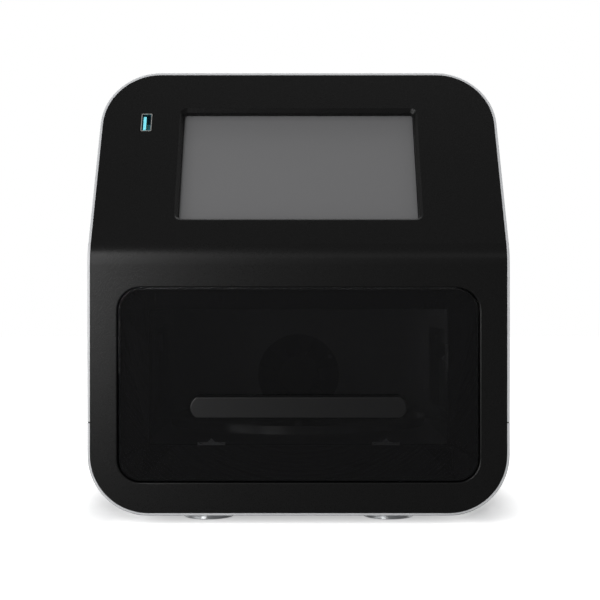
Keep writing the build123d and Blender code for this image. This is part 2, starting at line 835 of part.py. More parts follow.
# Light engines: the planes stand on the hood's skin over each window and point away from the chamber
engines = {
    "left": (Plane((-liner_outer, tray_middle_y, side_window_middle), x_dir=(0, 1, 0), z_dir=(-1, 0, 0)),
             side_window_height),
    "right": (Plane((liner_outer, tray_middle_y, side_window_middle), x_dir=(0, 1, 0), z_dir=(1, 0, 0)),
              side_window_height),
    "top": (Plane((0, tray_middle_y, chamber_top + liner_wall), x_dir=(0, 1, 0), z_dir=(0, 0, 1)),
            top_window_width),
}
with BuildPart() as light_windows:
    for seat, span in engines.values():
        with BuildSketch(seat):
            Rectangle(light_window_length + 2 * pane_lap, span + 2 * pane_lap)
        extrude(amount=pane_thickness)
write(light_windows, "light_windows")

with BuildPart() as led_emitters:
    for seat, span in engines.values():
        with BuildSketch(seat.offset(leg_height - board_thickness - led_height)):
            with GridLocations(light_window_length / led_columns, span / led_rows, led_columns, led_rows):
                Rectangle(led_size, led_size)
        extrude(amount=led_height)
write(led_emitters, "led_emitters")

with BuildPart() as led_boards:
    for seat, span in engines.values():
        with BuildSketch(seat.offset(leg_height - board_thickness)):
            Rectangle(light_window_length + 2 * pane_lap, span + 2 * pane_lap)
        extrude(amount=board_thickness)
write(led_boards, "led_boards")

for end, (seat, span) in engines.items():
    section_plane = Plane(seat.origin, x_dir=seat.y_dir, z_dir=seat.x_dir)
    sink_span = span + 2 * (pane_lap + pane_gap + leg_width)
    with BuildPart() as heatsink:
        with BuildSketch(section_plane.offset(-engine_length / 2)):
            with Locations((0, leg_height)):
                Rectangle(sink_span, sink_base, align=(Align.CENTER, Align.MIN))
            with Locations((0, leg_height / 2)):
                with GridLocations(sink_span - leg_width, 0, 2, 1):
                    Rectangle(leg_width, leg_height)
            with Locations((0, leg_height + sink_base + sink_fin_height / 2)):
                with GridLocations((sink_span - sink_fin_width) / (sink_fins - 1), 0, sink_fins, 1):
                    Rectangle(sink_fin_width, sink_fin_height)
        extrude(amount=engine_length)
    write(heatsink, f"heatsink_{end}")


# Fans: a square frame with a hub on struts, and a rotor whose axle turns in that hub
def fan_frame(face):
    """Two square flanges on a round barrel; the struts lie on `face` and the air passes along its normal."""
    with BuildPart() as frame:
        with BuildSketch(face):
            RectangleRounded(fan_size, fan_size, fan_corner)
            Circle(fan_bore / 2, mode=Mode.SUBTRACT)
            with GridLocations(fan_hole_spacing, fan_hole_spacing, 2, 2):
                Circle(screw_hole / 2, mode=Mode.SUBTRACT)
        extrude(amount=fan_depth)
        with BuildSketch(face.offset(fan_flange)):
            Rectangle(fan_size, fan_size)
            Circle(fan_bore / 2 + barrel_wall, mode=Mode.SUBTRACT)
        extrude(amount=fan_depth - 2 * fan_flange, mode=Mode.SUBTRACT)
        with BuildSketch(face):
            with PolarLocations(0, fan_struts, start_angle=45):
                Rectangle(fan_bore / 2 + fan_corner / 2, strut_width, align=(Align.MIN, Align.CENTER))
            Circle(fan_hub / 2)
            Circle(fan_axle / 2 + shaft_play, mode=Mode.SUBTRACT)
        extrude(amount=strut_depth)
    return frame


def fan_rotor(face):
    """Rotor over the struts: a cup hub with twisted blades and an axle into the frame's hub."""
    rotor_plane = face.offset(strut_depth + travel_gap)
    rotor_depth = fan_depth - strut_depth - 2 * travel_gap
    with BuildPart() as blade:
        root = (fan_hub / 2 - blade_thickness, root_pitch)
        tip = (fan_bore / 2 - blade_tip_gap, tip_pitch)
        for radius, pitch in (root, tip):
            station = Plane(Plane.YZ.offset(radius).origin + Vector(0, 0, rotor_depth / 2),
                            x_dir=(0, cos(radians(pitch)), sin(radians(pitch))), z_dir=(1, 0, 0))
            with BuildSketch(station):
                Rectangle(blade_chord, blade_thickness)
        loft()
    with BuildPart() as rotor:
        with BuildSketch(rotor_plane):
            Circle(fan_hub / 2)
        extrude(amount=rotor_depth)
        fillet(rotor.faces().sort_by(Axis(face.origin, face.z_dir))[-1].edges(), hub_rounding)
        with BuildSketch(rotor_plane):
            Circle(fan_axle / 2)
        extrude(amount=-(strut_depth + travel_gap))
        with Locations(rotor_plane):
            with PolarLocations(0, fan_blades):
                add(blade.part)
    return rotor


circulation_plane = Plane((0, liner_back_y + liner_wall + fan_depth, mouth_height), x_dir=(1, 0, 0),
                          z_dir=(0, -1, 0))
exhaust_plane = Plane((exhaust_x, panel_front_y - fan_depth, exhaust_height), x_dir=(-1, 0, 0),
                      z_dir=(0, 1, 0))
for plane, fan in ((circulation_plane, "circulation"), (exhaust_plane, "exhaust")):
    write(fan_frame(plane), f"{fan}_fan_frame")
    write(fan_rotor(plane), f"{fan}_fan_rotor")

# Rear panel: flat sheet inside the shell with a rim turned back, and openings for what it carries
inlet_middle = (inlet_x, inlet_height)
switch_middle = (switch_x, switch_height)
exhaust_middle = (exhaust_x, exhaust_height)
with BuildPart() as rear_panel:
    extrude(body_outline(shell_inset, panel_back_y), amount=panel_wall)
    with BuildSketch(Plane.XZ.offset(-panel_back_y - panel_rim)):
        add(body_outline(shell_inset, 0).moved(Location((0, panel_back_y + panel_rim, 0))))
        add(body_outline(shell_inset + panel_wall, 0).moved(Location((0, panel_back_y + panel_rim, 0))),
            mode=Mode.SUBTRACT)
    extrude(amount=panel_rim)
    with BuildSketch(Plane.XZ.offset(-panel_back_y)):
        with Locations(exhaust_middle):
            Circle(fan_bore / 2)
            with GridLocations(fan_hole_spacing, fan_hole_spacing, 2, 2):
                Circle(screw_hole / 2)
        with Locations(inlet_middle):
            Rectangle(inlet_body_width + 2 * cutout_gap, inlet_body_height + 2 * cutout_gap)
            with GridLocations(inlet_screw_spacing, 0, 2, 1):
                Circle(m3_shank / 2)
        with Locations(switch_middle):
            Rectangle(switch_body_width + 2 * cutout_gap, switch_body_height + 2 * cutout_gap)
        with Locations((supply_x, rear_vent_height)):
            with GridLocations(vent_length + 2 * vent_width, vent_step, 2, rear_vents):
                SlotOverall(vent_length, vent_width)
        with Locations(*side_screws, *top_screws, *pan_screws):
            Circle(screw_hole / 2)
    extrude(amount=panel_wall, mode=Mode.SUBTRACT)
write(rear_panel, "rear_panel")

with BuildPart() as rear_screws:
    for x, z in (*side_screws, *top_screws, *pan_screws):
        screw(Plane((x, panel_back_y, z), z_dir=(0, 1, 0)), m4_head, m4_head_height, m4_shank,
              rear_screw_length)
write(rear_screws, "rear_screws")

# Finger guard: flat rings on two crossed bars, with an ear at each screw
with BuildPart() as exhaust_fan_guard:
    ring_step = fan_bore / (2 * guard_rings + 1)
    with BuildSketch(Plane.XZ.offset(-panel_back_y)):
        with Locations(exhaust_middle):
            for ring in range(guard_rings, 0, -1):
                Circle(ring * ring_step + guard_wire)
                Circle(ring * ring_step, mode=Mode.SUBTRACT)
            for turn in (45, 135):
                Rectangle(fan_hole_spacing * 2**0.5, guard_wire, rotation=turn)
            with GridLocations(fan_hole_spacing, fan_hole_spacing, 2, 2):
                Circle(m4_head / 2)
                Circle(screw_hole / 2, mode=Mode.SUBTRACT)
    extrude(amount=-guard_thickness)
write(exhaust_fan_guard, "exhaust_fan_guard")

with BuildPart() as fan_screws:
    for side_x in (-1, 1):
        for side_z in (-1, 1):
            place = (exhaust_x + side_x * fan_hole_spacing / 2, panel_back_y + guard_thickness,
                     exhaust_height + side_z * fan_hole_spacing / 2)
            screw(Plane(place, z_dir=(0, 1, 0)), m4_head, m4_head_height, m4_shank,
                  guard_thickness + panel_wall + fan_screw_bite)
write(fan_screws, "fan_screws")

# Mains inlet: flanged body with a socket whose lower corners are cut, and three flat pins
pin_places = [(inlet_x + side * pin_spacing / 2, inlet_height - pin_offset / 2) for side in (-1, 1)]
pin_places.append((inlet_x, inlet_height + pin_offset / 2))
with BuildPart() as mains_inlet:
    with BuildSketch(Plane.XZ.offset(-panel_back_y)):
        with Locations(inlet_middle):
            SlotOverall(inlet_flange_width, inlet_flange_height)
            with GridLocations(inlet_screw_spacing, 0, 2, 1):
                Circle(m3_shank / 2, mode=Mode.SUBTRACT)
    extrude(amount=-inlet_flange)
    with BuildSketch(Plane.XZ.offset(-panel_back_y)):
        with Locations(inlet_middle):
            Rectangle(inlet_body_width, inlet_body_height)
    extrude(amount=inlet_body_depth)
    with BuildSketch(Plane.XZ.offset(-panel_back_y - inlet_flange)) as socket_mouth:
        with Locations(inlet_middle):
            Rectangle(inlet_socket_width, inlet_socket_height)
            chamfer(socket_mouth.vertices().group_by(Axis.Y)[0], inlet_socket_chamfer)
    extrude(amount=inlet_socket_depth, mode=Mode.SUBTRACT)
    with BuildSketch(Plane.XZ.offset(-panel_back_y - inlet_flange + inlet_socket_depth)):
        with Locations(*pin_places):
            Rectangle(pin_thickness, pin_width)
    extrude(amount=inlet_body_depth - inlet_socket_depth + inlet_flange, mode=Mode.SUBTRACT)
write(mains_inlet, "mains_inlet")

with BuildPart() as inlet_pins:
    with BuildSketch(Plane.XZ.offset(-panel_back_y - inlet_flange + inlet_socket_depth - pin_length)):
        with Locations(*pin_places):
            Rectangle(pin_thickness, pin_width)
    extrude(amount=pin_length + inlet_body_depth - inlet_socket_depth + inlet_flange + pin_tail)
write(inlet_pins, "inlet_pins")

with BuildPart() as inlet_screws:
    for side in (-1, 1):
        place = (inlet_x + side * inlet_screw_spacing / 2, panel_back_y + inlet_flange, inlet_height)
        screw(Plane(place, z_dir=(0, 1, 0)), m3_head, m3_head_height, m3_shank, inlet_screw_length)
write(inlet_screws, "inlet_screws")

# Mains switch: bezel and body with a well, and a rocker on a round pivot, tilted as it rests
rocker_axis_y = panel_back_y + switch_bezel - rocker_sink
with BuildPart() as power_switch_body:
    with BuildSketch(Plane.XZ.offset(-panel_back_y)):
        with Locations(switch_middle):
            RectangleRounded(switch_bezel_width, switch_bezel_height, switch_bezel)
    extrude(amount=-switch_bezel)
    with BuildSketch(Plane.XZ.offset(-panel_back_y)):
        with Locations(switch_middle):
            Rectangle(switch_body_width, switch_body_height)
    extrude(amount=switch_body_depth)
    well_width = rocker_width + 2 * rocker_gap
    with BuildSketch(Plane.XZ.offset(-panel_back_y - switch_bezel)):
        with Locations(switch_middle):
            Rectangle(well_width, rocker_height + 2 * rocker_gap)
    extrude(amount=well_depth, mode=Mode.SUBTRACT)
    with BuildSketch(Plane.YZ.offset(switch_x - well_width / 2)):
        with Locations((rocker_axis_y, switch_height)):
            Circle(rocker_pin / 2)
    extrude(amount=well_width)
write(power_switch_body, "power_switch_body")

with BuildPart() as power_switch_rocker:
    rocker_plane = Plane((switch_x - rocker_width / 2, rocker_axis_y, switch_height),
                         x_dir=(0, cos(radians(rocker_tilt)), sin(radians(rocker_tilt))), z_dir=(1, 0, 0))
    reach = rocker_height / 2 - rocker_gap / 2
    with BuildSketch(rocker_plane):
        with BuildLine():
            face = ThreePointArc((rocker_rise, -reach), (rocker_rise - rocker_dip, 0), (rocker_rise, reach))
            Polyline(face @ 1, (rocker_foot, reach - rocker_taper), (-rocker_foot, rocker_pin),
                     (-rocker_foot, -rocker_pin), (rocker_foot, rocker_taper - reach), face @ 0)
        make_face()
        Circle(rocker_pin / 2 + shaft_play, mode=Mode.SUBTRACT)
    extrude(amount=rocker_width)
write(power_switch_rocker, "power_switch_rocker")

# Power supply in a perforated case, standing on the pan
with BuildPart() as power_supply:
    supply_y = (panel_front_y - supply_back_gap - supply_depth, panel_front_y - supply_back_gap)
    supply_z = (floor_top + sheet, floor_top + sheet + supply_height)
    supply_slot = supply_width / 2 - supply_slot_gap / 2 - supply_slot_inset
    block((supply_left, supply_right), supply_y, supply_z)
    with BuildSketch(Plane.XZ.offset(-supply_y[1])):
        with Locations((supply_x, (supply_z[0] + supply_z[1]) / 2)):
            with GridLocations(supply_slot + supply_slot_gap, vent_step, 2, rear_vents):
                SlotOverall(supply_slot, vent_width)
    extrude(amount=sheet, mode=Mode.SUBTRACT)
    terminal_y = (supply_y[0] + supply_y[1] - terminal_depth) / 2
    block((supply_left + terminal_inset, supply_right - terminal_inset),
          (terminal_y, terminal_y + terminal_depth), (supply_z[1], supply_z[1] + terminal_height))
write(power_supply, "power_supply")

# Main board on standoffs behind the rear panel, with its connectors and choke
board_y = panel_front_y - standoff_height
with BuildPart() as board_standoffs:
    with BuildSketch(Plane.XZ.offset(-panel_front_y)):
        with Locations((0, main_board_middle)):
            with GridLocations(main_board_width - 2 * standoff_inset, main_board_height - 2 * standoff_inset,
                               2, 2):
                Circle(standoff_diameter / 2)
    extrude(amount=standoff_height)
write(board_standoffs, "board_standoffs")

with BuildPart() as main_board:
    with BuildSketch(Plane.XZ.offset(-board_y)):
        with Locations((0, main_board_middle)):
            Rectangle(main_board_width, main_board_height)
    extrude(amount=board_thickness)
    with BuildSketch(Plane.XZ.offset(-board_y + board_thickness)):
        with Locations((0, main_board_middle - main_board_height / 2 + connector_depth)):
            with GridLocations(connector_step, 0, connectors, 1):
                Rectangle(connector_width, connector_depth)
        with Locations((connector_step, main_board_middle + connector_depth)):
            Rectangle(choke_size, choke_size)
        with Locations((-connector_step, main_board_middle + connector_depth)):
            with GridLocations(choke_size, 0, capacitors, 1):
                Circle(capacitor_diameter / 2)
    extrude(amount=connector_height)
write(main_board, "main_board")

# Touch screen: gasket, glass, display and its bracket, stacked behind the leaning face
glass_size = (screen_width + 2 * glass_lap, screen_height + 2 * glass_lap)
with BuildPart() as display_gasket:
    with BuildSketch(slope.offset(-screen_depth - gasket_thickness)):
        with Locations((0, screen_middle)):
            Rectangle(*glass_size)
            Rectangle(glass_size[0] - 2 * gasket_width, glass_size[1] - 2 * gasket_width, mode=Mode.SUBTRACT)
    extrude(amount=gasket_thickness)
write(display_gasket, "display_gasket")

glass_back = screen_depth + gasket_thickness + glass_thickness
with BuildPart() as touch_glass:
    with BuildSketch(slope.offset(-glass_back)):
        with Locations((0, screen_middle)):
            RectangleRounded(*glass_size, screen_corner)
    extrude(amount=glass_thickness)
write(touch_glass, "touch_glass")

with BuildPart() as display_module:
    with BuildSketch(slope.offset(-bracket_seat)):
        with Locations((0, screen_middle)):
            Rectangle(screen_width + 2 * display_lap, screen_height + 2 * display_lap)
    extrude(amount=display_thickness)
write(display_module, "display_module")

with BuildPart() as display_bracket:
    with BuildSketch(slope.offset(-bracket_seat)):
        with Locations((0, bracket_middle)):
            Rectangle(bracket_post_spacing_x + 2 * bracket_ear, bracket_height)
            Rectangle(screen_width - 2 * bracket_lap, bracket_height - 2 * bracket_lap, mode=Mode.SUBTRACT)
        with Locations(*slope_posts):
            Circle(m3_shank / 2, mode=Mode.SUBTRACT)
    extrude(amount=-bracket_thickness)
write(display_bracket, "display_bracket")

# USB-A port: folded metal shell, tongue with its block, and the board that carries them
usb_middle_place = (usb_x, usb_middle)
with BuildPart() as usb_shell:
    with BuildSketch(slope.offset(-usb_depth)):
        with Locations(usb_middle_place):
            RectangleRounded(usb_width, usb_height, usb_corner)
    extrude(amount=usb_depth)
    with BuildSketch(slope.offset(-usb_depth)):
        with Locations(usb_middle_place):
            Rectangle(usb_width - 2 * usb_wall, usb_height - 2 * usb_wall)
    extrude(amount=usb_depth, mode=Mode.SUBTRACT)
write(usb_shell, "usb_shell")

with BuildPart() as usb_tongue:
    with BuildSketch(slope.offset(-usb_depth)):
        with Locations(usb_middle_place):
            Rectangle(usb_width - 2 * usb_wall, usb_height - 2 * usb_wall)
    extrude(amount=usb_block)
    with BuildSketch(slope.offset(-usb_depth)):
        with Locations((usb_x - usb_width / 2 + usb_wall + tongue_gap + tongue_thickness / 2, usb_middle)):
            Rectangle(tongue_thickness, tongue_height)
    extrude(amount=usb_depth - tongue_recess)
write(usb_tongue, "usb_tongue")

with BuildPart() as usb_board:
    with BuildSketch(slope.offset(-usb_depth)):
        with Locations(usb_middle_place):
            RectangleRounded(usb_board_width, usb_board_height, usb_post / 2)
        with Locations(*usb_posts):
            Circle(m3_shank / 2, mode=Mode.SUBTRACT)
    extrude(amount=-board_thickness)
write(usb_board, "usb_board")

with BuildPart() as display_screws:
    for places, depth in ((slope_posts, bracket_seat + bracket_thickness),
                          (usb_posts, usb_depth + board_thickness)):
        for x, along in places:
            seat = slope.offset(-depth).location * Location((x, along, 0))
            screw(Plane(seat.position, x_dir=slope.x_dir, z_dir=-slope.z_dir), m3_head, m3_head_height,
                  m3_shank, post_screw_length)
write(display_screws, "display_screws")

# Feet: turned cups screwed up through the floor into the pan, with rubber pads
with BuildPart() as foot_cups:
    with BuildSketch(Plane.XY.offset(cup_lift)):
        with Locations(*feet):
            Circle(foot_diameter / 2)
    extrude(amount=foot_height - cup_lift)
    chamfer(foot_cups.edges().filter_by(GeomType.CIRCLE), cup_edge)
    with BuildSketch(Plane.XY.offset(cup_lift)):
        with Locations(*feet):
            Circle(pad_diameter / 2)
    extrude(amount=pad_thickness - cup_lift, mode=Mode.SUBTRACT)
    with BuildSketch(Plane.XY.offset(pad_thickness)):
        with Locations(*feet):
            Circle(m4_head / 2 + travel_gap)
    extrude(amount=low_head_height, mode=Mode.SUBTRACT)
    with BuildSketch(Plane.XY.offset(pad_thickness)):
        with Locations(*feet):
            Circle(m4_shank / 2)
    extrude(amount=foot_height, mode=Mode.SUBTRACT)
write(foot_cups, "foot_cups")

with BuildPart() as foot_pads:
    with BuildSketch():
        with Locations(*feet):
            Circle(pad_diameter / 2)
    extrude(amount=pad_thickness)
write(foot_pads, "foot_pads")

with BuildPart() as foot_screws:
    for x, y in feet:
        head_seat = pad_thickness + low_head_height
        screw(Plane((x, y, head_seat), z_dir=(0, 0, -1)), m4_head, low_head_height, m4_shank,
              floor_top + sheet - head_seat)
write(foot_screws, "foot_screws")

# Magnetic catch: steel plates on the drawer meet magnets on the hood. The interlock's sensor is above them
magnet_y = liner_front_y + liner_wall
for name, y_ends in (("catch_plates", (carriage_y, liner_front_y - travel_gap)),
                     ("catch_magnets", (magnet_y, magnet_y + magnet_depth))):
    with BuildPart() as catch:
        for side in (-1, 1):
            block((side * catch_x - catch_width / 2, side * catch_x + catch_width / 2), y_ends,
                  (catch_middle - catch_height / 2, catch_middle + catch_height / 2))
    write(catch, name)

with BuildPart() as interlock_sensor:
    block((-sensor_width / 2, sensor_width / 2),
          (liner_front_y + liner_wall, liner_front_y + liner_wall + sensor_depth),
          (chamber_top + liner_wall, chamber_top + liner_wall + sensor_height))
write(interlock_sensor, "interlock_sensor")
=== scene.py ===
import json
from math import radians
import bpy
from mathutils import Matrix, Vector

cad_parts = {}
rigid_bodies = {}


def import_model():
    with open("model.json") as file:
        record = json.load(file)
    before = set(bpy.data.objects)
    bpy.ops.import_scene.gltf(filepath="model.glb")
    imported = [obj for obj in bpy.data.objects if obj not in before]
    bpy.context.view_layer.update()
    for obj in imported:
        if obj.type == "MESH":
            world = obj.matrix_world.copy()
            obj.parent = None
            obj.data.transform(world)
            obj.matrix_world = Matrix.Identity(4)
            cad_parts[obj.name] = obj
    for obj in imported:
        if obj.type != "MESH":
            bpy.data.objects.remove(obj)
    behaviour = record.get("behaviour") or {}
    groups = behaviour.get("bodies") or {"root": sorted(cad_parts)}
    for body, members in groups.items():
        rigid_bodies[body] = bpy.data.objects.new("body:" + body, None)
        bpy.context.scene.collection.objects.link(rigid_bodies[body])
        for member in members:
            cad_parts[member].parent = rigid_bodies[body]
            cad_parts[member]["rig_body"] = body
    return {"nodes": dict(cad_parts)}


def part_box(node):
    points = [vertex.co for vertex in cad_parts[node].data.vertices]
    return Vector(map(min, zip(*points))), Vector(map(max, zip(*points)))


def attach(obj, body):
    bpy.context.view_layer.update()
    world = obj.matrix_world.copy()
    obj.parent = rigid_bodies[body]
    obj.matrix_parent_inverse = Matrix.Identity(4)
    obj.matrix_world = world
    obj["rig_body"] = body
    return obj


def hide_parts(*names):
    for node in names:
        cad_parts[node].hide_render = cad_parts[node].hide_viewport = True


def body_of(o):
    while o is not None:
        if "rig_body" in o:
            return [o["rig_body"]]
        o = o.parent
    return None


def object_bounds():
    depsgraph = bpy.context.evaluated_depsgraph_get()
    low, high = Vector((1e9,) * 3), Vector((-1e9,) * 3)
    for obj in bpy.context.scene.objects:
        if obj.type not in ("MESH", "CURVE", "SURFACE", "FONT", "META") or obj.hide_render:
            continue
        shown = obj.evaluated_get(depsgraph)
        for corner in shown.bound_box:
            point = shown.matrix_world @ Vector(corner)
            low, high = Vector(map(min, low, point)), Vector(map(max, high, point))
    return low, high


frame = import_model()
cad_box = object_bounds()
nodes = frame["nodes"]


# Camera: level, square to the drawer front, at the height of the middle of the body.
# It stands 822 mm in front of the lower face and sees 376 mm of it across the frame.
front_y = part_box("front_fascia")[0][1]
camera_distance = 0.822
camera_height = 0.1413
seen_width = 0.37608
sensor_width = 36.0
sideways_shift = 0.0024
bpy.ops.object.camera_add(
    location=(0.0, front_y - camera_distance, camera_height), rotation=(radians(90), 0, 0))
camera = bpy.context.object
camera.data.sensor_width = sensor_width
camera.data.lens = sensor_width * camera_distance / seen_width
camera.data.shift_x = sideways_shift
camera.data.clip_start = 0.05
bpy.context.scene.camera = camera


# Studio: a white paper sweep and a white backdrop behind the unit, and an unlit room in front of
# it. Paper and backdrop are white by their own glow. Round the unit the paper's glow is lowered as
# a painted shade, and in front of the unit it is raised as a painted light.
def linear(hex_colour):
    """Linear RGBA of an sRGB hex colour."""
    channels = [int(hex_colour[i:i + 2], 16) / 255 for i in (1, 3, 5)]
    curve = [c / 12.92 if c <= 0.04045 else ((c + 0.055) / 1.055) ** 2.4 for c in channels]
    return tuple(curve) + (1.0,)


def add_node(owner, kind, inputs=None, **settings):
    """Adds a node to a material or world; inputs are values or the sockets that feed it."""
    node = owner.node_tree.nodes.new(kind)
    for name, value in settings.items():
        setattr(node, name, value)
    for name, value in (inputs or {}).items():
        if isinstance(value, bpy.types.NodeSocket):
            owner.node_tree.links.new(value, node.inputs[name])
        else:
            node.inputs[name].default_value = value
    return node


def new_material(name):
    """Material with an empty tree but for its output."""
    material = bpy.data.materials.new(name)
    material.use_nodes = True
    material.node_tree.nodes.clear()
    material.node_tree.nodes.new("ShaderNodeOutputMaterial")
    return material


def surface(owner, socket):
    """Sends a shader to the output of a material or world."""
    output = next(n for n in owner.node_tree.nodes if n.type.startswith("OUTPUT"))
    owner.node_tree.links.new(socket, output.inputs["Surface"])


def behind_unit(owner, axis_socket, start, end):
    """1 on the backdrop's side of the unit, falling to 0 on the room's side."""
    return add_node(owner, "ShaderNodeMapRange", {
        "Value": axis_socket, "From Min": start, "From Max": end}).outputs["Result"]


def mirrored_rays(owner, rays):
    """1 for rays that reach the studio through metal or glass."""
    return add_node(owner, "ShaderNodeMath", {
        0: rays.outputs["Is Glossy Ray"], 1: rays.outputs["Is Transmission Ray"]},
        operation="ADD", use_clamp=True).outputs["Value"]


# The glow falls by left_shade or right_shade beside the unit as painted shade, out to shade_reach
# from its walls, and comes back over shade_end before its back. In front it is front_light stronger
# as painted light, which ends between two distances behind the front's plane, wider apart at the
# rounded corners.
paper_size = 8.0
paper_glow = 0.44
left_shade = 0.50
right_shade = 0.42
shade_reach = 0.034
shade_end = 0.09
front_light = 0.28
middle_light = (0.002, 0.028)
corner_light = (-0.12, 0.115)
half_width = cad_box[1][0]
back_y = cad_box[1][1]
corner_start = half_width - 0.0225
corner_end = half_width + 0.0125
room_level = 0.16
room_ends = (-0.14, 0.12)
bpy.ops.object.select_all(action="DESELECT")
bpy.ops.mesh.primitive_plane_add(size=paper_size)
floor = bpy.context.object
floor.name = "floor"
paper = new_material("white_paper")
place = add_node(paper, "ShaderNodeTexCoord")
along = add_node(paper, "ShaderNodeSeparateXYZ", {"Vector": place.outputs["Object"]})
rays = add_node(paper, "ShaderNodeLightPath")
mirrored = mirrored_rays(paper, rays)
seen_white = add_node(paper, "ShaderNodeMath", {0: rays.outputs["Is Camera Ray"], 1: mirrored},
                      operation="ADD", use_clamp=True)
sheet_face = add_node(paper, "ShaderNodeBsdfDiffuse", {"Color": linear("#f4f4f4")})
sideways = add_node(paper, "ShaderNodeMath", {0: along.outputs["X"]}, operation="ABSOLUTE")
past_side = add_node(paper, "ShaderNodeMath", {
    0: sideways.outputs[0], 1: half_width}, operation="SUBTRACT")
off_side = add_node(paper, "ShaderNodeMath", {0: past_side.outputs[0]}, operation="ABSOLUTE")
beside = add_node(paper, "ShaderNodeMapRange", {
    "Value": off_side.outputs[0], "From Min": 0.0, "From Max": shade_reach,
    "To Min": 1.0, "To Max": 0.0}, interpolation_type="SMOOTHSTEP")
light_start, light_end = (
    add_node(paper, "ShaderNodeMapRange", {
        "Value": sideways.outputs[0], "From Min": corner_start, "From Max": corner_end,
        "To Min": front_y + middle, "To Max": front_y + corner}).outputs["Result"]
    for middle, corner in zip(middle_light, corner_light))
under = add_node(paper, "ShaderNodeMapRange", {
    "Value": along.outputs["Y"], "From Min": light_start, "From Max": light_end})
shade_depth = add_node(paper, "ShaderNodeMapRange", {
    "Value": along.outputs["X"], "From Min": -half_width, "From Max": half_width,
    "To Min": -left_shade, "To Max": -right_shade})
before_back = add_node(paper, "ShaderNodeMapRange", {
    "Value": along.outputs["Y"], "From Min": back_y - shade_end, "From Max": back_y,
    "To Min": 1.0, "To Max": 0.0}, interpolation_type="SMOOTHSTEP")
# Painted shade: the paper's glow is lowered beside the unit and before its back.
alongside = add_node(paper, "ShaderNodeMath", {
    0: beside.outputs["Result"], 1: before_back.outputs["Result"]}, operation="MULTIPLY")
shaded = add_node(paper, "ShaderNodeMath", {0: alongside.outputs[0], 1: under.outputs["Result"]},
                  operation="MULTIPLY")
# Painted light: the paper's glow is raised in front of the unit.
lift = add_node(paper, "ShaderNodeMapRange", {
    "Value": under.outputs["Result"], "To Min": paper_glow + front_light, "To Max": paper_glow})
glow_level = add_node(paper, "ShaderNodeMath", {
    0: shaded.outputs[0], 1: shade_depth.outputs["Result"], 2: lift.outputs["Result"]},
    operation="MULTIPLY_ADD")
glow = add_node(paper, "ShaderNodeEmission", {
    "Color": (1, 1, 1, 1), "Strength": glow_level.outputs[0]})
lit_face = add_node(paper, "ShaderNodeAddShader", {0: sheet_face.outputs[0], 1: glow.outputs[0]})
seen_face = add_node(paper, "ShaderNodeMixShader", {
    0: seen_white.outputs[0], 1: sheet_face.outputs[0], 2: lit_face.outputs[0]})
room_side = add_node(paper, "ShaderNodeMath", {
    0: 1.0, 1: behind_unit(paper, along.outputs["Y"], *room_ends)}, operation="SUBTRACT")
unlit = add_node(paper, "ShaderNodeMath", {
    0: mirrored, 1: room_side.outputs[0]}, operation="MULTIPLY")
dark_face = add_node(paper, "ShaderNodeEmission", {"Color": (1, 1, 1, 1), "Strength": room_level})
surface(paper, add_node(paper, "ShaderNodeMixShader", {
    0: unlit.outputs[0], 1: seen_face.outputs[0], 2: dark_face.outputs[0]}).outputs[0])
floor.data.materials.append(paper)

# The world fills in from the left more than from the right. Only metal and glass see it as a
# picture: a white backdrop where they face the back, and the dim room where they face the front.
left_fill = 0.86
right_fill = 0.60
fill_edge = 0.6
backdrop_starts = (0.1, 0.5)
world = bpy.data.worlds.new("studio")
bpy.context.scene.world = world
world.use_nodes = True
world.node_tree.nodes.clear()
add_node(world, "ShaderNodeOutputWorld")
direction = add_node(world, "ShaderNodeTexCoord")
towards = add_node(world, "ShaderNodeSeparateXYZ", {"Vector": direction.outputs["Generated"]})
rays = add_node(world, "ShaderNodeLightPath")
mirrored = mirrored_rays(world, rays)
fill_level = add_node(world, "ShaderNodeMapRange", {
    "Value": towards.outputs["X"], "From Min": -fill_edge, "From Max": fill_edge,
    "To Min": left_fill, "To Max": right_fill})
fill = add_node(world, "ShaderNodeBackground", {
    "Color": (1, 1, 1, 1), "Strength": fill_level.outputs["Result"]})
room = add_node(world, "ShaderNodeBackground", {"Color": (1, 1, 1, 1), "Strength": room_level})
white = add_node(world, "ShaderNodeBackground", {"Color": (1, 1, 1, 1), "Strength": 1.0})
mirror_view = add_node(world, "ShaderNodeMixShader", {
    0: behind_unit(world, towards.outputs["Y"], *backdrop_starts), 1: room.outputs[0],
    2: white.outputs[0]})
unseen = add_node(world, "ShaderNodeMixShader", {
    0: mirrored, 1: fill.outputs[0], 2: mirror_view.outputs[0]})
surface(world, add_node(world, "ShaderNodeMixShader", {
    0: rays.outputs["Is Camera Ray"], 1: unseen.outputs[0], 2: white.outputs[0]}).outputs[0])
bpy.context.scene.view_settings.view_transform = "Standard"


def soft_box(name, place, aim, size, power):
    """Rectangular soft box at a place, turned to its aim."""
    bpy.ops.object.light_add(type="AREA", location=place)
    lamp = bpy.context.object
    lamp.name = name
    lamp.data.shape = "RECTANGLE"
    lamp.data.size, lamp.data.size_y = size
    lamp.data.energy = power
    lamp.rotation_euler = (Vector(aim) - Vector(place)).to_track_quat("-Z", "Y").to_euler()
    return lamp


unit_middle = (0.0, 0.0, 0.15)
soft_box("top_box", (0.1, 0.55, 1.45), unit_middle, (1.1, 0.8), 10)
soft_box("left_box", (-0.46, -1.15, 0.46), unit_middle, (0.3, 0.9), 5.1)
soft_box("left_strip", (-0.90, -0.72, 0.30), unit_middle, (0.5, 0.6), 2.4)
soft_box("front_box", (0.25, -1.35, 0.80), unit_middle, (0.9, 0.2), 0.3)
soft_box("right_box", (1.4, 0.5, 0.6), unit_middle, (0.8, 0.8), 1.4)


def paint(material, *names):
    """Puts a material on CAD nodes."""
    for name in names:
        slots = nodes[name].data.materials
        slots.clear()
        slots.append(material)
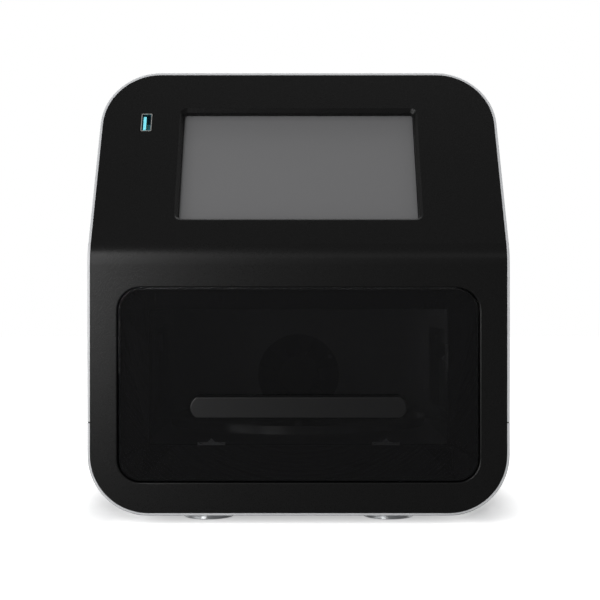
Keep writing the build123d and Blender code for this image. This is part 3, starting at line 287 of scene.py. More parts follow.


# Shell: sheet steel folded round the unit and stoved in silver enamel. A fine metallic flake under
# a faint orange peel gives it a low, even sheen. The cover meets the floor pan in a seam low on
# both sides, where a narrow dark band is painted shade in the seam's gap.
seam_gap = 0.0004
seam_shade_lap = 0.00014
seam_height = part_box("upper_shell")[0][2] - seam_gap / 2
seam_shade_reach = seam_gap / 2 + seam_shade_lap
# The real flakes are under 0.1 mm; they are drawn coarser, so that they show.
flake_size = 0.0012
peel_size = 0.004
peel_depth = 0.0002
flake_share = 0.45
silver = new_material("silver_enamel_on_sheet_steel")
place = add_node(silver, "ShaderNodeTexCoord")
flake = add_node(silver, "ShaderNodeTexNoise", {
    "Vector": place.outputs["Object"], "Scale": 1 / flake_size, "Detail": 2.0})
height = add_node(silver, "ShaderNodeSeparateXYZ", {"Vector": place.outputs["Object"]})
# Painted shade: within the seam's gap the enamel turns dark and loses its metal.
in_seam = add_node(silver, "ShaderNodeMath", {
    0: height.outputs["Z"], 1: seam_height, 2: seam_shade_reach}, operation="COMPARE")
tone = add_node(silver, "ShaderNodeMix", {"Factor": in_seam.outputs[0]}, data_type="RGBA")
tone.inputs["A"].default_value = linear("#c2c3c5")
tone.inputs["B"].default_value = linear("#141416")
metal = add_node(silver, "ShaderNodeMapRange", {
    "Value": in_seam.outputs[0], "To Min": flake_share, "To Max": 0.0})
satin = add_node(silver, "ShaderNodeMapRange", {
    "Value": flake.outputs["Fac"], "From Min": 0.3, "From Max": 0.7,
    "To Min": 0.56, "To Max": 0.64})
orange_peel = add_node(silver, "ShaderNodeTexNoise", {
    "Vector": place.outputs["Object"], "Scale": 1 / peel_size, "Detail": 1.0})
ripple = add_node(silver, "ShaderNodeBump", {
    "Height": orange_peel.outputs["Fac"], "Strength": 0.06, "Distance": peel_depth})
shade = add_node(silver, "ShaderNodeBsdfPrincipled", {
    "Base Color": tone.outputs["Result"], "Metallic": metal.outputs["Result"],
    "Roughness": satin.outputs["Result"], "Normal": ripple.outputs["Normal"]})
surface(silver, shade.outputs["BSDF"])
paint(silver, "upper_shell", "lower_shell")


# Front moulding: one bent plate of black ABS with a rim flange inside the shell. Its tool was
# spark-eroded, which leaves a fine even grain and keeps the gloss low.
# The real grain is near 0.1 mm; it is drawn coarser, so that it shows.
spark_grain = 0.0006
spark_depth = 0.0001
fascia_black = new_material("black_spark_textured_abs")
place = add_node(fascia_black, "ShaderNodeTexCoord")
grain = add_node(fascia_black, "ShaderNodeTexNoise", {
    "Vector": place.outputs["Object"], "Scale": 1 / spark_grain, "Detail": 3.0, "Roughness": 0.6})
grain_bump = add_node(fascia_black, "ShaderNodeBump", {
    "Height": grain.outputs["Fac"], "Strength": 0.12, "Distance": spark_depth})
gloss = add_node(fascia_black, "ShaderNodeMapRange", {
    "Value": grain.outputs["Fac"], "From Min": 0.3, "From Max": 0.7,
    "To Min": 0.25, "To Max": 0.33})
shade = add_node(fascia_black, "ShaderNodeBsdfPrincipled", {
    "Base Color": linear("#090909"), "Roughness": gloss.outputs["Result"], "IOR": 1.5,
    "Specular IOR Level": 0.3, "Normal": grain_bump.outputs["Normal"]})
surface(fascia_black, shade.outputs["BSDF"])
paint(fascia_black, "front_fascia")


# Drawer front: a polished sheet of smoked cast acrylic, clipped to a frame behind it. A look
# through it meets the tint on both faces, so only what is near it shows, and dimly.
wave_length = 0.03
wave_depth = 0.0005
smoked = new_material("smoked_cast_acrylic")
place = add_node(smoked, "ShaderNodeTexCoord")
waves = add_node(smoked, "ShaderNodeTexNoise", {
    "Vector": place.outputs["Object"], "Scale": 1 / wave_length, "Detail": 1.0})
cast_face = add_node(smoked, "ShaderNodeBump", {
    "Height": waves.outputs["Fac"], "Strength": 0.02, "Distance": wave_depth})
wiped = add_node(smoked, "ShaderNodeMapRange", {
    "Value": waves.outputs["Fac"], "From Min": 0.3, "From Max": 0.7,
    "To Min": 0.03, "To Max": 0.06})
shade = add_node(smoked, "ShaderNodeBsdfPrincipled", {
    "Base Color": linear("#060607"), "Roughness": wiped.outputs["Result"], "IOR": 1.49,
    "Alpha": 0.65, "Normal": cast_face.outputs["Normal"]})
surface(smoked, shade.outputs["BSDF"])
paint(smoked, "door_panel")


# Pull bar: moulded in black ABS with arched ends and a finger groove from below, and screwed on
# from behind. Its grain is finer than the front's, and its gloss dull and even.
# The real grain is under 0.1 mm; it is drawn coarser, so that it shows.
bar_grain = 0.0005
bar_depth = 0.0001
bar_black = new_material("black_satin_abs")
place = add_node(bar_black, "ShaderNodeTexCoord")
grain = add_node(bar_black, "ShaderNodeTexNoise", {
    "Vector": place.outputs["Object"], "Scale": 1 / bar_grain, "Detail": 2.0})
grain_bump = add_node(bar_black, "ShaderNodeBump", {
    "Height": grain.outputs["Fac"], "Strength": 0.08, "Distance": bar_depth})
shade = add_node(bar_black, "ShaderNodeBsdfPrincipled", {
    "Base Color": linear("#080809"), "Roughness": 0.36, "IOR": 1.5, "Specular IOR Level": 0.4,
    "Normal": grain_bump.outputs["Normal"]})
surface(bar_black, shade.outputs["BSDF"])
paint(bar_black, "pull_handle")


# Frame behind the acrylic, open at its window, and rear panel: metal sheet in black powder coat.
# The powder flows out to a matt skin with a slight orange peel.
powder_peel = 0.0012
powder_depth = 0.0002
powder_black = new_material("black_powder_coat")
place = add_node(powder_black, "ShaderNodeTexCoord")
orange_peel = add_node(powder_black, "ShaderNodeTexNoise", {
    "Vector": place.outputs["Object"], "Scale": 1 / powder_peel, "Detail": 2.0})
peel_bump = add_node(powder_black, "ShaderNodeBump", {
    "Height": orange_peel.outputs["Fac"], "Strength": 0.25, "Distance": powder_depth})
shade = add_node(powder_black, "ShaderNodeBsdfPrincipled", {
    "Base Color": linear("#17171a"), "Roughness": 0.55, "Normal": peel_bump.outputs["Normal"]})
surface(powder_black, shade.outputs["BSDF"])
paint(powder_black, "door_frame", "rear_panel")


# Pan, tray, runners, brackets, finger guard and fixings: steel with bright zinc plating. Its
# crystals are faintly mottled, so the shine is cloudy close up.
spangle_size = 0.003
zinc = new_material("zinc_plated_steel")
place = add_node(zinc, "ShaderNodeTexCoord")
spangle = add_node(zinc, "ShaderNodeTexVoronoi", {
    "Vector": place.outputs["Object"], "Scale": 1 / spangle_size})
cloud = add_node(zinc, "ShaderNodeMapRange", {
    "Value": spangle.outputs["Distance"], "To Min": 0.26, "To Max": 0.40})
shade = add_node(zinc, "ShaderNodeBsdfPrincipled", {
    "Base Color": linear("#b4b6b8"), "Metallic": 1.0, "Roughness": cloud.outputs["Result"]})
surface(zinc, shade.outputs["BSDF"])
paint(zinc, "base_frame", "drawer_tray", "runner_outer_left", "runner_outer_right",
      "runner_middle_left", "runner_middle_right", "runner_inner_left", "runner_inner_right",
      "display_bracket", "exhaust_fan_guard", "foot_screws", "handle_screws", "motor_screws",
      "display_screws", "inlet_pins", "turntable_motor", "board_standoffs", "catch_plates",
      "catch_magnets")


# Screws that show on the back: zinc-plated steel pan heads that hold the rear panel, the finger
# guard and the mains inlet. Each is headed from wire, its head domed, and its cross recess punched.
# These are shares of the head's height or width, and of the shank's width for the tip.
head_round = 0.62
recess_length = 0.52
recess_width = 0.13
recess_depth = 0.6
recess_taper = 0.6
tip_chamfer = 0.12
touching = 1e-6


def solid_boxes(node, reach):
    """Low and high corners of each solid in a node; the solids lie further apart than reach."""
    boxes = []
    for vertex in nodes[node].data.vertices:
        for low, high in boxes:
            if all(a - reach <= c <= b + reach for a, c, b in zip(low, vertex.co, high)):
                low[:] = map(min, low, vertex.co)
                high[:] = map(max, high, vertex.co)
                break
        else:
            boxes.append((list(vertex.co), list(vertex.co)))
    return boxes


def pick(piece, kind, wanted):
    """Goes into edit mode with only the wanted vertices, edges or faces of a piece selected."""
    bpy.ops.object.mode_set(mode="EDIT")
    bpy.ops.mesh.select_mode(type=kind)
    bpy.ops.mesh.select_all(action="DESELECT")
    bpy.ops.object.mode_set(mode="OBJECT")
    mesh = piece.data
    for item in {"VERT": mesh.vertices, "EDGE": mesh.edges, "FACE": mesh.polygons}[kind]:
        item.select = wanted(item)
    bpy.ops.object.mode_set(mode="EDIT")


def join(pieces, name):
    """Joins pieces into one that lies at the origin."""
    bpy.ops.object.select_all(action="DESELECT")
    for piece in pieces:
        piece.select_set(True)
    bpy.context.view_layer.objects.active = pieces[0]
    bpy.ops.object.join()
    whole = bpy.context.object
    whole.name = name
    bpy.ops.object.transform_apply(location=True, rotation=True, scale=True)
    return whole


def copies(piece, places, turns=None):
    """The piece at each place and turn, each copy with its own mesh; the model is taken away."""
    made = []
    for number, place in enumerate(places):
        copy = piece.copy()
        copy.data = piece.data.copy()
        copy.location = place
        if turns:
            copy.rotation_euler = turns[number]
        bpy.context.collection.objects.link(copy)
        made.append(copy)
    bpy.data.objects.remove(piece, do_unlink=True)
    return made


def pan_head_screw(head, head_height, shank, length):
    """One screw along Y, the underside of its head at the origin and its shank to the front."""
    bpy.ops.object.select_all(action="DESELECT")
    bpy.ops.mesh.primitive_cylinder_add(
        vertices=48, radius=head / 2, depth=head_height, location=(0, 0, head_height / 2))
    screw = bpy.context.object
    bpy.ops.object.transform_apply(location=True)
    top = max(vertex.co.z for vertex in screw.data.vertices)
    corners = screw.data.vertices
    pick(screw, "EDGE", lambda edge: all(corners[i].co.z > top - touching for i in edge.vertices))
    bpy.ops.mesh.bevel(
        offset=head_height * head_round, offset_type="OFFSET", segments=6, profile=0.5)
    bpy.ops.object.mode_set(mode="OBJECT")
    for turn in (0, 90):
        bpy.ops.object.select_all(action="DESELECT")
        bpy.ops.mesh.primitive_cube_add(
            size=1, location=(0, 0, head_height), rotation=(0, 0, radians(turn)))
        punch = bpy.context.object
        punch.scale = (head * recess_length, head * recess_width, head_height * recess_depth * 2)
        bpy.ops.object.transform_apply(location=True, rotation=True, scale=True)
        foot = min(vertex.co.z for vertex in punch.data.vertices)
        tips = punch.data.vertices
        pick(punch, "FACE", lambda face: all(tips[i].co.z < foot + touching for i in face.vertices))
        bpy.ops.transform.resize(
            value=(recess_taper, recess_taper, 1.0), center_override=(0, 0, foot))
        bpy.ops.object.mode_set(mode="OBJECT")
        bpy.ops.object.select_all(action="DESELECT")
        screw.select_set(True)
        bpy.context.view_layer.objects.active = screw
        recess = screw.modifiers.new("recess", "BOOLEAN")
        recess.operation = "DIFFERENCE"
        recess.object = punch
        bpy.ops.object.modifier_apply(modifier="recess")
        bpy.data.objects.remove(punch, do_unlink=True)
    bpy.ops.object.select_all(action="DESELECT")
    shank_length = length - head_height
    bpy.ops.mesh.primitive_cylinder_add(
        vertices=32, radius=shank / 2, depth=shank_length, location=(0, 0, -shank_length / 2))
    stem = bpy.context.object
    bpy.ops.object.transform_apply(location=True)
    end = min(vertex.co.z for vertex in stem.data.vertices)
    rims = stem.data.vertices
    pick(stem, "EDGE", lambda edge: all(rims[i].co.z < end + touching for i in edge.vertices))
    bpy.ops.mesh.bevel(offset=shank * tip_chamfer, segments=1)
    bpy.ops.object.mode_set(mode="OBJECT")
    screw = join([screw, stem], "screw")
    screw.rotation_euler = (radians(-90), 0, 0)
    bpy.ops.object.transform_apply(rotation=True)
    bpy.ops.object.shade_smooth_by_angle(angle=radians(35))
    return screw


# Node: height of the head and width of the shank.
back_screws = {
    "rear_screws": (0.0022, 0.004), "fan_screws": (0.0022, 0.004), "inlet_screws": (0.0018, 0.003)}
screw_reach = 0.015
for node, (head_height, shank) in back_screws.items():
    boxes = solid_boxes(node, screw_reach)
    low, high = boxes[0]
    screw = pan_head_screw(high[0] - low[0], head_height, shank, high[1] - low[1])
    seats = [((low[0] + high[0]) / 2, high[1] - head_height, (low[2] + high[2]) / 2)
             for low, high in boxes]
    screws = join(copies(screw, seats), node.replace("_", "_pan_head_"))
    screws.data.materials.clear()
    screws.data.materials.append(zinc)
    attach(screws, body_of(nodes[node])[0])
    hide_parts(node)


# Chamber, duct plate and turntable plate: rolled aluminium sheet, brushed bright so that it throws
# the light back at the work. The grain runs up and down, and shows as fine streaks in the shine.
# The real strokes are near 0.1 mm wide; they are drawn coarser, so that they show.
brush_width = 0.0005
brush_stretch = 0.03
bright = new_material("bright_rolled_aluminium")
place = add_node(bright, "ShaderNodeTexCoord")
stretch = add_node(bright, "ShaderNodeMapping", {
    "Vector": place.outputs["Object"], "Scale": (1.0, 1.0, brush_stretch)})
brush = add_node(bright, "ShaderNodeTexNoise", {
    "Vector": stretch.outputs["Vector"], "Scale": 1 / brush_width, "Detail": 2.0})
brush_gloss = add_node(bright, "ShaderNodeMapRange", {
    "Value": brush.outputs["Fac"], "From Min": 0.3, "From Max": 0.7,
    "To Min": 0.21, "To Max": 0.26})
shade = add_node(bright, "ShaderNodeBsdfPrincipled", {
    "Base Color": linear("#d9dadb"), "Metallic": 1.0, "Roughness": brush_gloss.outputs["Result"]})
surface(bright, shade.outputs["BSDF"])
paint(bright, "chamber_liner", "air_duct_plate", "turntable_plate")


# Heatsinks, clips and turntable hub: plain aluminium cut from extruded bar and left bare. Faint die
# lines run along the way it was pressed.
die_line = 0.0004
die_stretch = 0.02
plain_aluminium = new_material("extruded_aluminium")
place = add_node(plain_aluminium, "ShaderNodeTexCoord")
drawn = add_node(plain_aluminium, "ShaderNodeMapping", {
    "Vector": place.outputs["Object"], "Scale": (1.0, die_stretch, 1.0)})
lines = add_node(plain_aluminium, "ShaderNodeTexNoise", {
    "Vector": drawn.outputs["Vector"], "Scale": 1 / die_line})
line_gloss = add_node(plain_aluminium, "ShaderNodeMapRange", {
    "Value": lines.outputs["Fac"], "From Min": 0.3, "From Max": 0.7,
    "To Min": 0.32, "To Max": 0.46})
shade = add_node(plain_aluminium, "ShaderNodeBsdfPrincipled", {
    "Base Color": linear("#bcbec0"), "Metallic": 1.0, "Roughness": line_gloss.outputs["Result"]})
surface(plain_aluminium, shade.outputs["BSDF"])
paint(plain_aluminium, "heatsink_left", "heatsink_right", "heatsink_top", "turntable_hub",
      "panel_clips")


# Feet: turned aluminium cups, screwed up through the floor into the pan. The tool leaves fine rings
# round each cup, cut as facets that lean back, so they catch light from above the floor.
facet_lean = 0.2
ring_pitch = 0.0003
ring_stretch = 0.02
ring_depth = 0.0001
turned = new_material("turned_aluminium")
place = add_node(turned, "ShaderNodeTexCoord")
rings = add_node(turned, "ShaderNodeMapping", {
    "Vector": place.outputs["Object"], "Scale": (ring_stretch, ring_stretch, 1.0)})
tool_marks = add_node(turned, "ShaderNodeTexNoise", {
    "Vector": rings.outputs["Vector"], "Scale": 1 / ring_pitch, "Detail": 1.0})
wall = add_node(turned, "ShaderNodeNewGeometry")
leaning_facet = add_node(turned, "ShaderNodeVectorMath", {
    0: wall.outputs["Normal"], 1: (0.0, 0.0, facet_lean)}, operation="ADD")
facet = add_node(turned, "ShaderNodeVectorMath", {
    0: leaning_facet.outputs["Vector"]}, operation="NORMALIZE")
mark_bump = add_node(turned, "ShaderNodeBump", {
    "Height": tool_marks.outputs["Fac"], "Strength": 0.3, "Distance": ring_depth,
    "Normal": facet.outputs["Vector"]})
shade = add_node(turned, "ShaderNodeBsdfPrincipled", {
    "Base Color": linear("#d0d2d4"), "Metallic": 1.0, "Roughness": 0.3,
    "Normal": mark_bump.outputs["Normal"]})
surface(turned, shade.outputs["BSDF"])
paint(turned, "foot_cups")


# Pads of the feet, door seal and screen gasket: moulded nitrile rubber, pressed and stuck in place.
# It is dull all over, with a slight bloom in patches.
bloom_size = 0.006
rubber = new_material("black_nitrile_rubber")
place = add_node(rubber, "ShaderNodeTexCoord")
bloom = add_node(rubber, "ShaderNodeTexNoise", {
    "Vector": place.outputs["Object"], "Scale": 1 / bloom_size, "Detail": 3.0})
rubber_gloss = add_node(rubber, "ShaderNodeMapRange", {
    "Value": bloom.outputs["Fac"], "From Min": 0.3, "From Max": 0.7,
    "To Min": 0.65, "To Max": 0.85})
shade = add_node(rubber, "ShaderNodeBsdfPrincipled", {
    "Base Color": linear("#1a1a1a"), "Roughness": rubber_gloss.outputs["Result"]})
surface(rubber, shade.outputs["BSDF"])
paint(rubber, "foot_pads", "door_seal", "display_gasket")


# Touch screen: a cover glass with a black border printed on its back, bonded to an unlit panel and
# pressed on its gasket. Through the glass the panel reads as a mid grey, with a painted shading
# that turns it a shade lighter towards the top.
screen_low, screen_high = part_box("touch_glass")
shown_half_width = 0.0767
border_fade = 0.0003
screen_glass = new_material("bonded_touch_glass")
place = add_node(screen_glass, "ShaderNodeTexCoord")
across = add_node(screen_glass, "ShaderNodeSeparateXYZ", {"Vector": place.outputs["Object"]})
off_middle = add_node(screen_glass, "ShaderNodeMath", {
    0: across.outputs["X"]}, operation="ABSOLUTE")
showing = add_node(screen_glass, "ShaderNodeMapRange", {
    "Value": off_middle.outputs[0], "From Min": shown_half_width,
    "From Max": shown_half_width + border_fade, "To Min": 1.0, "To Max": 0.0})
# Painted shading: the panel's grey turns a shade lighter towards the top.
fall = add_node(screen_glass, "ShaderNodeMapRange", {
    "Value": across.outputs["Z"], "From Min": screen_low[2], "From Max": screen_high[2]})
panel = add_node(screen_glass, "ShaderNodeMix", {
    "Factor": fall.outputs["Result"]}, data_type="RGBA")
panel.inputs["A"].default_value = linear("#59595a")
panel.inputs["B"].default_value = linear("#5a5a5b")
printed = add_node(screen_glass, "ShaderNodeMix", {
    "Factor": showing.outputs["Result"], "B": panel.outputs["Result"]}, data_type="RGBA")
printed.inputs["A"].default_value = linear("#060607")
shade = add_node(screen_glass, "ShaderNodeBsdfPrincipled", {
    "Base Color": printed.outputs["Result"], "Roughness": 0.5, "IOR": 1.5, "Coat Weight": 0.3,
    "Coat Roughness": 0.05})
surface(screen_glass, shade.outputs["BSDF"])
paint(screen_glass, "touch_glass")


# Display behind the glass: a panel in a tray of thin tinned steel, clamped by its bracket. The tin
# is dull and cloudy where the sheet was rolled.
tin_cloud = 0.004
tray_steel = new_material("tinned_display_tray")
place = add_node(tray_steel, "ShaderNodeTexCoord")
rolled = add_node(tray_steel, "ShaderNodeTexNoise", {
    "Vector": place.outputs["Object"], "Scale": 1 / tin_cloud})
tray_gloss = add_node(tray_steel, "ShaderNodeMapRange", {
    "Value": rolled.outputs["Fac"], "From Min": 0.3, "From Max": 0.7,
    "To Min": 0.34, "To Max": 0.44})
shade = add_node(tray_steel, "ShaderNodeBsdfPrincipled", {
    "Base Color": linear("#a9abae"), "Metallic": 1.0, "Roughness": tray_gloss.outputs["Result"]})
surface(tray_steel, shade.outputs["BSDF"])
paint(tray_steel, "display_module")


# USB-A port: a folded steel shell in nickel plate, bright at its lip and darker inside it as a
# painted shade, round a tongue of light blue glass-filled nylon with four gold-plated contacts. It
# stands on its own board.
mottle_size = 0.0015
# The real fibres are near 0.3 mm long; they are drawn coarser, so that they show.
fibre_size = 0.0008
gold_wear = 0.0005
slope = max((face for face in nodes["touch_glass"].data.polygons if face.normal.y < 0),
            key=lambda face: face.area).normal.copy()
lip_depth = 0.0002
cavity_shade_depth = 0.0012
lip = max(slope.dot(vertex.co) for vertex in nodes["usb_shell"].data.vertices)
nickel = new_material("nickel_plated_steel")
place = add_node(nickel, "ShaderNodeTexCoord")
outward = add_node(nickel, "ShaderNodeVectorMath", {0: place.outputs["Object"], 1: slope},
                   operation="DOT_PRODUCT")
# Painted shade: the plate's colour darkens from its lip into the mouth of the port.
inside = add_node(nickel, "ShaderNodeMapRange", {
    "Value": outward.outputs["Value"], "From Min": lip - cavity_shade_depth, "From Max": lip - lip_depth})
cavity_shade = add_node(nickel, "ShaderNodeMix", {"Factor": inside.outputs["Result"]}, data_type="RGBA")
cavity_shade.inputs["A"].default_value = linear("#5c6670")
cavity_shade.inputs["B"].default_value = linear("#f2f2ee")
mottle = add_node(nickel, "ShaderNodeTexNoise", {
    "Vector": place.outputs["Object"], "Scale": 1 / mottle_size})
satin = add_node(nickel, "ShaderNodeMapRange", {
    "Value": mottle.outputs["Fac"], "From Min": 0.3, "From Max": 0.7,
    "To Min": 0.26, "To Max": 0.38})
shade = add_node(nickel, "ShaderNodeBsdfPrincipled", {
    "Base Color": cavity_shade.outputs["Result"], "Metallic": 1.0, "Roughness": satin.outputs["Result"]})
surface(nickel, shade.outputs["BSDF"])
paint(nickel, "usb_shell")

usb_blue = new_material("light_blue_glass_filled_nylon")
place = add_node(usb_blue, "ShaderNodeTexCoord")
fibre = add_node(usb_blue, "ShaderNodeTexNoise", {
    "Vector": place.outputs["Object"], "Scale": 1 / fibre_size})
blue = add_node(usb_blue, "ShaderNodeMix", {"Factor": fibre.outputs["Fac"]}, data_type="RGBA")
blue.inputs["A"].default_value = linear("#6fdcec")
blue.inputs["B"].default_value = linear("#82e8f6")
shade = add_node(usb_blue, "ShaderNodeBsdfPrincipled", {
    "Base Color": blue.outputs["Result"], "Roughness": 0.35})
surface(usb_blue, shade.outputs["BSDF"])
paint(usb_blue, "usb_tongue")

gold = new_material("gold_plated_contacts")
place = add_node(gold, "ShaderNodeTexCoord")
wear = add_node(gold, "ShaderNodeTexNoise", {
    "Vector": place.outputs["Object"], "Scale": 1 / gold_wear})
gold_gloss = add_node(gold, "ShaderNodeMapRange", {
    "Value": wear.outputs["Fac"], "From Min": 0.3, "From Max": 0.7,
    "To Min": 0.22, "To Max": 0.34})
shade = add_node(gold, "ShaderNodeBsdfPrincipled", {
    "Base Color": linear("#e0b45c"), "Metallic": 1.0, "Roughness": gold_gloss.outputs["Result"]})
surface(gold, shade.outputs["BSDF"])
# The strips lie on the tongue's own flat face, which looks to the right.
contact_count = 4
contact_size = (0.0002, 0.0062, 0.0010)
contact_edge = 0.00008
contact_pitch = 0.0025
contact_inset = 0.0012
faces_right = 0.9
same_plane = 1e-5
tongue = nodes["usb_tongue"].data
right_faces = [face for face in tongue.polygons if face.normal.x > faces_right]
blade = min(right_faces, key=lambda face: face.center.x)
blade_corners = [tongue.vertices[i].co for face in right_faces for i in face.vertices
                 if abs(face.center.x - blade.center.x) < same_plane]
along_slope = slope.cross(Vector((1, 0, 0))).normalized()
blade_front = max(slope.dot(corner) for corner in blade_corners)
blade_middle = sum(along_slope.dot(corner) for corner in blade_corners) / len(blade_corners)
bpy.ops.object.select_all(action="DESELECT")
bpy.ops.mesh.primitive_cube_add(size=1)
strip = bpy.context.object
strip.scale = contact_size
bpy.ops.object.transform_apply(scale=True)
rounded = strip.modifiers.new("rounded", "BEVEL")
rounded.width = contact_edge
rounded.segments = 2
bpy.ops.object.modifier_apply(modifier="rounded")
strip.rotation_euler = slope.to_track_quat("-Y", "Z").to_euler()
rows = [blade_middle + (row - (contact_count - 1) / 2) * contact_pitch
        for row in range(contact_count)]
on_blade = [Vector((blade.center.x, 0, 0))
            + slope * (blade_front - contact_inset - contact_size[1] / 2)
            + along_slope * row for row in rows]
contacts = join(copies(strip, on_blade), "usb_contacts")
contacts.data.materials.append(gold)
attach(contacts, body_of(nodes["usb_tongue"])[0])


# Light windows: clear panes of float borosilicate glass in the chamber's walls. They are almost
# unseen, but for a reflection with a few wiped smears in it.
smear_size = 0.02
clear = new_material("borosilicate_pane")
place = add_node(clear, "ShaderNodeTexCoord")
smear = add_node(clear, "ShaderNodeTexNoise", {
    "Vector": place.outputs["Object"], "Scale": 1 / smear_size, "Detail": 3.0})
pane_gloss = add_node(clear, "ShaderNodeMapRange", {
    "Value": smear.outputs["Fac"], "From Min": 0.3, "From Max": 0.7,
    "To Min": 0.02, "To Max": 0.05})
shade = add_node(clear, "ShaderNodeBsdfPrincipled", {
    "Base Color": linear("#f4f8fa"), "Roughness": pane_gloss.outputs["Result"], "IOR": 1.47,
    "Alpha": 0.22})
surface(clear, shade.outputs["BSDF"])
paint(clear, "light_windows")


# Curing LEDs: packages soldered to the boards, each a base of white sintered ceramic with a soft
# dome of clear silicone cast over the chip. The dome shines and is faintly blue.
# The real grain is under 0.01 mm; it is drawn coarser, so that it shows.
sinter_grain = 0.0005
lens_haze = 0.001
ceramic = new_material("white_alumina_ceramic")
place = add_node(ceramic, "ShaderNodeTexCoord")
sinter = add_node(ceramic, "ShaderNodeTexNoise", {
    "Vector": place.outputs["Object"], "Scale": 1 / sinter_grain})
sinter_gloss = add_node(ceramic, "ShaderNodeMapRange", {
    "Value": sinter.outputs["Fac"], "From Min": 0.3, "From Max": 0.7,
    "To Min": 0.45, "To Max": 0.6})
shade = add_node(ceramic, "ShaderNodeBsdfPrincipled", {
    "Base Color": linear("#e4e4e0"), "Roughness": sinter_gloss.outputs["Result"]})
surface(ceramic, shade.outputs["BSDF"])

led_lens = new_material("silicone_led_lens")
place = add_node(led_lens, "ShaderNodeTexCoord")
haze = add_node(led_lens, "ShaderNodeTexNoise", {
    "Vector": place.outputs["Object"], "Scale": 1 / lens_haze})
lens_tone = add_node(led_lens, "ShaderNodeMix", {"Factor": haze.outputs["Fac"]}, data_type="RGBA")
lens_tone.inputs["A"].default_value = linear("#c3cdea")
lens_tone.inputs["B"].default_value = linear("#d2daf2")
shade = add_node(led_lens, "ShaderNodeBsdfPrincipled", {
    "Base Color": lens_tone.outputs["Result"], "Roughness": 0.12, "Coat Weight": 0.4,
    "Coat Roughness": 0.03})
surface(led_lens, shade.outputs["BSDF"])

led_reach = 0.005
led_boxes = solid_boxes("led_emitters", led_reach)
base_share = 0.42
base_edge = 0.2
dome_share = 0.86


def led_package(width, height):
    """One LED package standing on the origin and facing up."""
    base_height = height * base_share
    dome_radius = width * dome_share / 2
    bpy.ops.object.select_all(action="DESELECT")
    bpy.ops.mesh.primitive_cube_add(size=1, location=(0, 0, base_height / 2))
    base = bpy.context.object
    base.scale = (width, width, base_height)
    bpy.ops.object.transform_apply(location=True, scale=True)
    edges = base.modifiers.new("edges", "BEVEL")
    edges.width = base_height * base_edge
    edges.segments = 2
    bpy.ops.object.modifier_apply(modifier="edges")
    base.data.materials.append(ceramic)
    bpy.ops.object.select_all(action="DESELECT")
    bpy.ops.mesh.primitive_uv_sphere_add(segments=20, ring_count=10, radius=dome_radius)
    dome = bpy.context.object
    pick(dome, "VERT", lambda vertex: True)
    bpy.ops.mesh.bisect(plane_co=(0, 0, 0), plane_no=(0, 0, 1), clear_inner=True, use_fill=True)
    bpy.ops.object.mode_set(mode="OBJECT")
    dome.scale = (1, 1, (height - base_height) / dome_radius)
    dome.location = (0, 0, base_height)
    bpy.ops.object.transform_apply(location=True, scale=True)
    dome.data.materials.append(led_lens)
    bpy.ops.object.shade_smooth_by_angle(angle=radians(40))
    return join([base, dome], "led_package")


seats = []
facings = []
for low, high in led_boxes:
    sides = [b - a for a, b in zip(low, high)]
    seat = [(a + b) / 2 for a, b in zip(low, high)]
    thin = sides.index(min(sides))
    inward = -1 if seat[thin] > 0 else 1
    seat[thin] -= inward * sides[thin] / 2
    seats.append(seat)
    facing = Vector([inward if axis == thin else 0 for axis in range(3)])
    facings.append(facing.to_track_quat("Z", "Y").to_euler())
package = led_package(max(sides), min(sides))
domed_leds = join(copies(package, seats, facings), "domed_led_packages")
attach(domed_leds, body_of(nodes["led_emitters"])[0])
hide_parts("led_emitters")


# Circuit boards: glass-epoxy laminate under green solder mask, held on standoffs, heatsinks or the
# port that they carry. The copper tracks show through the glossy mask as paler lines.
track_pitch = 0.02
board_mask = new_material("green_solder_mask")
place = add_node(board_mask, "ShaderNodeTexCoord")
tracks = add_node(board_mask, "ShaderNodeTexBrick", {
    "Vector": place.outputs["Object"], "Color1": linear("#14502e"), "Color2": linear("#185a34"),
    "Mortar": linear("#2c7a4c"), "Scale": 1 / track_pitch, "Mortar Size": 0.01})
shade = add_node(board_mask, "ShaderNodeBsdfPrincipled", {
    "Base Color": tracks.outputs["Color"], "Roughness": 0.3})
surface(board_mask, shade.outputs["BSDF"])
paint(board_mask, "main_board", "usb_board", "led_boards")


# Fans, inlet, switch body, sensor and the supply's case: black glass-filled nylon, moulded. The
# fibres near its skin leave it dull, with a fine uneven gloss.
# The real fibres are near 0.3 mm long; their mark on the skin is drawn coarser, so that it shows.
skin_grain = 0.001
nylon = new_material("black_glass_filled_nylon")
place = add_node(nylon, "ShaderNodeTexCoord")
skin = add_node(nylon, "ShaderNodeTexNoise", {
    "Vector": place.outputs["Object"], "Scale": 1 / skin_grain, "Detail": 3.0})
skin_gloss = add_node(nylon, "ShaderNodeMapRange", {
    "Value": skin.outputs["Fac"], "From Min": 0.3, "From Max": 0.7,
    "To Min": 0.36, "To Max": 0.5})
shade = add_node(nylon, "ShaderNodeBsdfPrincipled", {
    "Base Color": linear("#151517"), "Roughness": skin_gloss.outputs["Result"]})
surface(nylon, shade.outputs["BSDF"])
paint(nylon, "circulation_fan_frame", "circulation_fan_rotor", "exhaust_fan_frame",
      "exhaust_fan_rotor", "mains_inlet", "power_switch_body", "interlock_sensor", "power_supply")


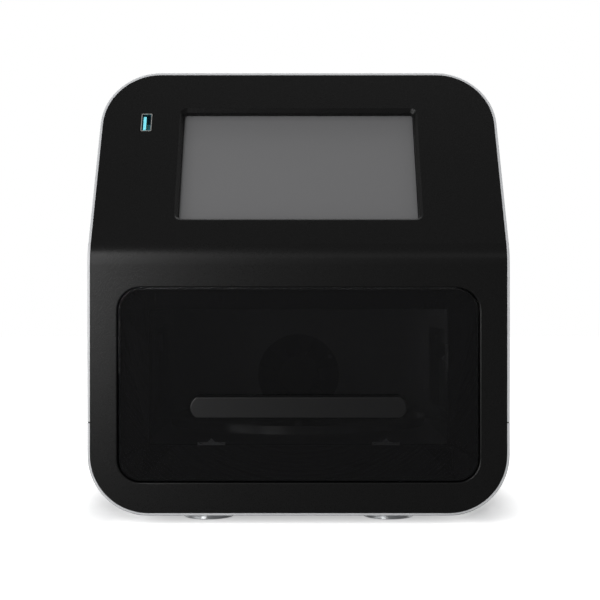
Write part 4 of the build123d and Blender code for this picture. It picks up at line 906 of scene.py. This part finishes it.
# Power rocker: the same nylon, polished a little more, snapped into the switch on its pivot. The
# usual on and off marks are pad printed in white on its two halves.
rocker_low, rocker_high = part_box("power_switch_rocker")
rocker_middle = (rocker_low[0] + rocker_high[0]) / 2
mark_inset = 0.0024
on_height = rocker_low[2] + mark_inset
off_height = rocker_high[2] - mark_inset
mark_half = 0.0011
stroke_half = 0.00028
rocker_nylon = new_material("black_nylon_with_printed_marks")
place = add_node(rocker_nylon, "ShaderNodeTexCoord")
at = add_node(rocker_nylon, "ShaderNodeSeparateXYZ", {"Vector": place.outputs["Object"]})
in_stroke = add_node(rocker_nylon, "ShaderNodeMath", {
    0: at.outputs["X"], 1: rocker_middle, 2: stroke_half}, operation="COMPARE")
in_length = add_node(rocker_nylon, "ShaderNodeMath", {
    0: at.outputs["Z"], 1: on_height, 2: mark_half}, operation="COMPARE")
on_mark = add_node(rocker_nylon, "ShaderNodeMath", {
    0: in_stroke.outputs[0], 1: in_length.outputs[0]}, operation="MULTIPLY")
flat_place = add_node(rocker_nylon, "ShaderNodeCombineXYZ", {
    "X": at.outputs["X"], "Z": at.outputs["Z"]})
from_middle = add_node(rocker_nylon, "ShaderNodeVectorMath", {
    0: flat_place.outputs["Vector"], 1: (rocker_middle, 0.0, off_height)}, operation="DISTANCE")
off_mark = add_node(rocker_nylon, "ShaderNodeMath", {
    0: from_middle.outputs["Value"], 1: mark_half - stroke_half, 2: stroke_half},
    operation="COMPARE")
marks = add_node(rocker_nylon, "ShaderNodeMath", {
    0: on_mark.outputs[0], 1: off_mark.outputs[0]}, operation="ADD", use_clamp=True)
ink = add_node(rocker_nylon, "ShaderNodeMix", {"Factor": marks.outputs[0]}, data_type="RGBA")
ink.inputs["A"].default_value = linear("#151517")
ink.inputs["B"].default_value = linear("#dcdcda")
skin = add_node(rocker_nylon, "ShaderNodeTexNoise", {
    "Vector": place.outputs["Object"], "Scale": 1 / skin_grain, "Detail": 3.0})
skin_gloss = add_node(rocker_nylon, "ShaderNodeMapRange", {
    "Value": skin.outputs["Fac"], "From Min": 0.3, "From Max": 0.7,
    "To Min": 0.32, "To Max": 0.44})
shade = add_node(rocker_nylon, "ShaderNodeBsdfPrincipled", {
    "Base Color": ink.outputs["Result"], "Roughness": skin_gloss.outputs["Result"]})
surface(rocker_nylon, shade.outputs["BSDF"])
paint(rocker_nylon, "power_switch_rocker")


# Turntable bearing: a flanged bush of sintered bronze soaked in oil, pressed into the tray. Its
# fine pores break up the shine.
# The real pores are under 0.1 mm; they are drawn coarser, so that they show.
pore_size = 0.0003
bronze = new_material("sintered_bronze")
place = add_node(bronze, "ShaderNodeTexCoord")
pores = add_node(bronze, "ShaderNodeTexNoise", {
    "Vector": place.outputs["Object"], "Scale": 1 / pore_size, "Detail": 2.0})
pore_gloss = add_node(bronze, "ShaderNodeMapRange", {
    "Value": pores.outputs["Fac"], "From Min": 0.3, "From Max": 0.7,
    "To Min": 0.38, "To Max": 0.55})
shade = add_node(bronze, "ShaderNodeBsdfPrincipled", {
    "Base Color": linear("#b8864a"), "Metallic": 1.0, "Roughness": pore_gloss.outputs["Result"]})
surface(bronze, shade.outputs["BSDF"])
paint(bronze, "bearing_bush")
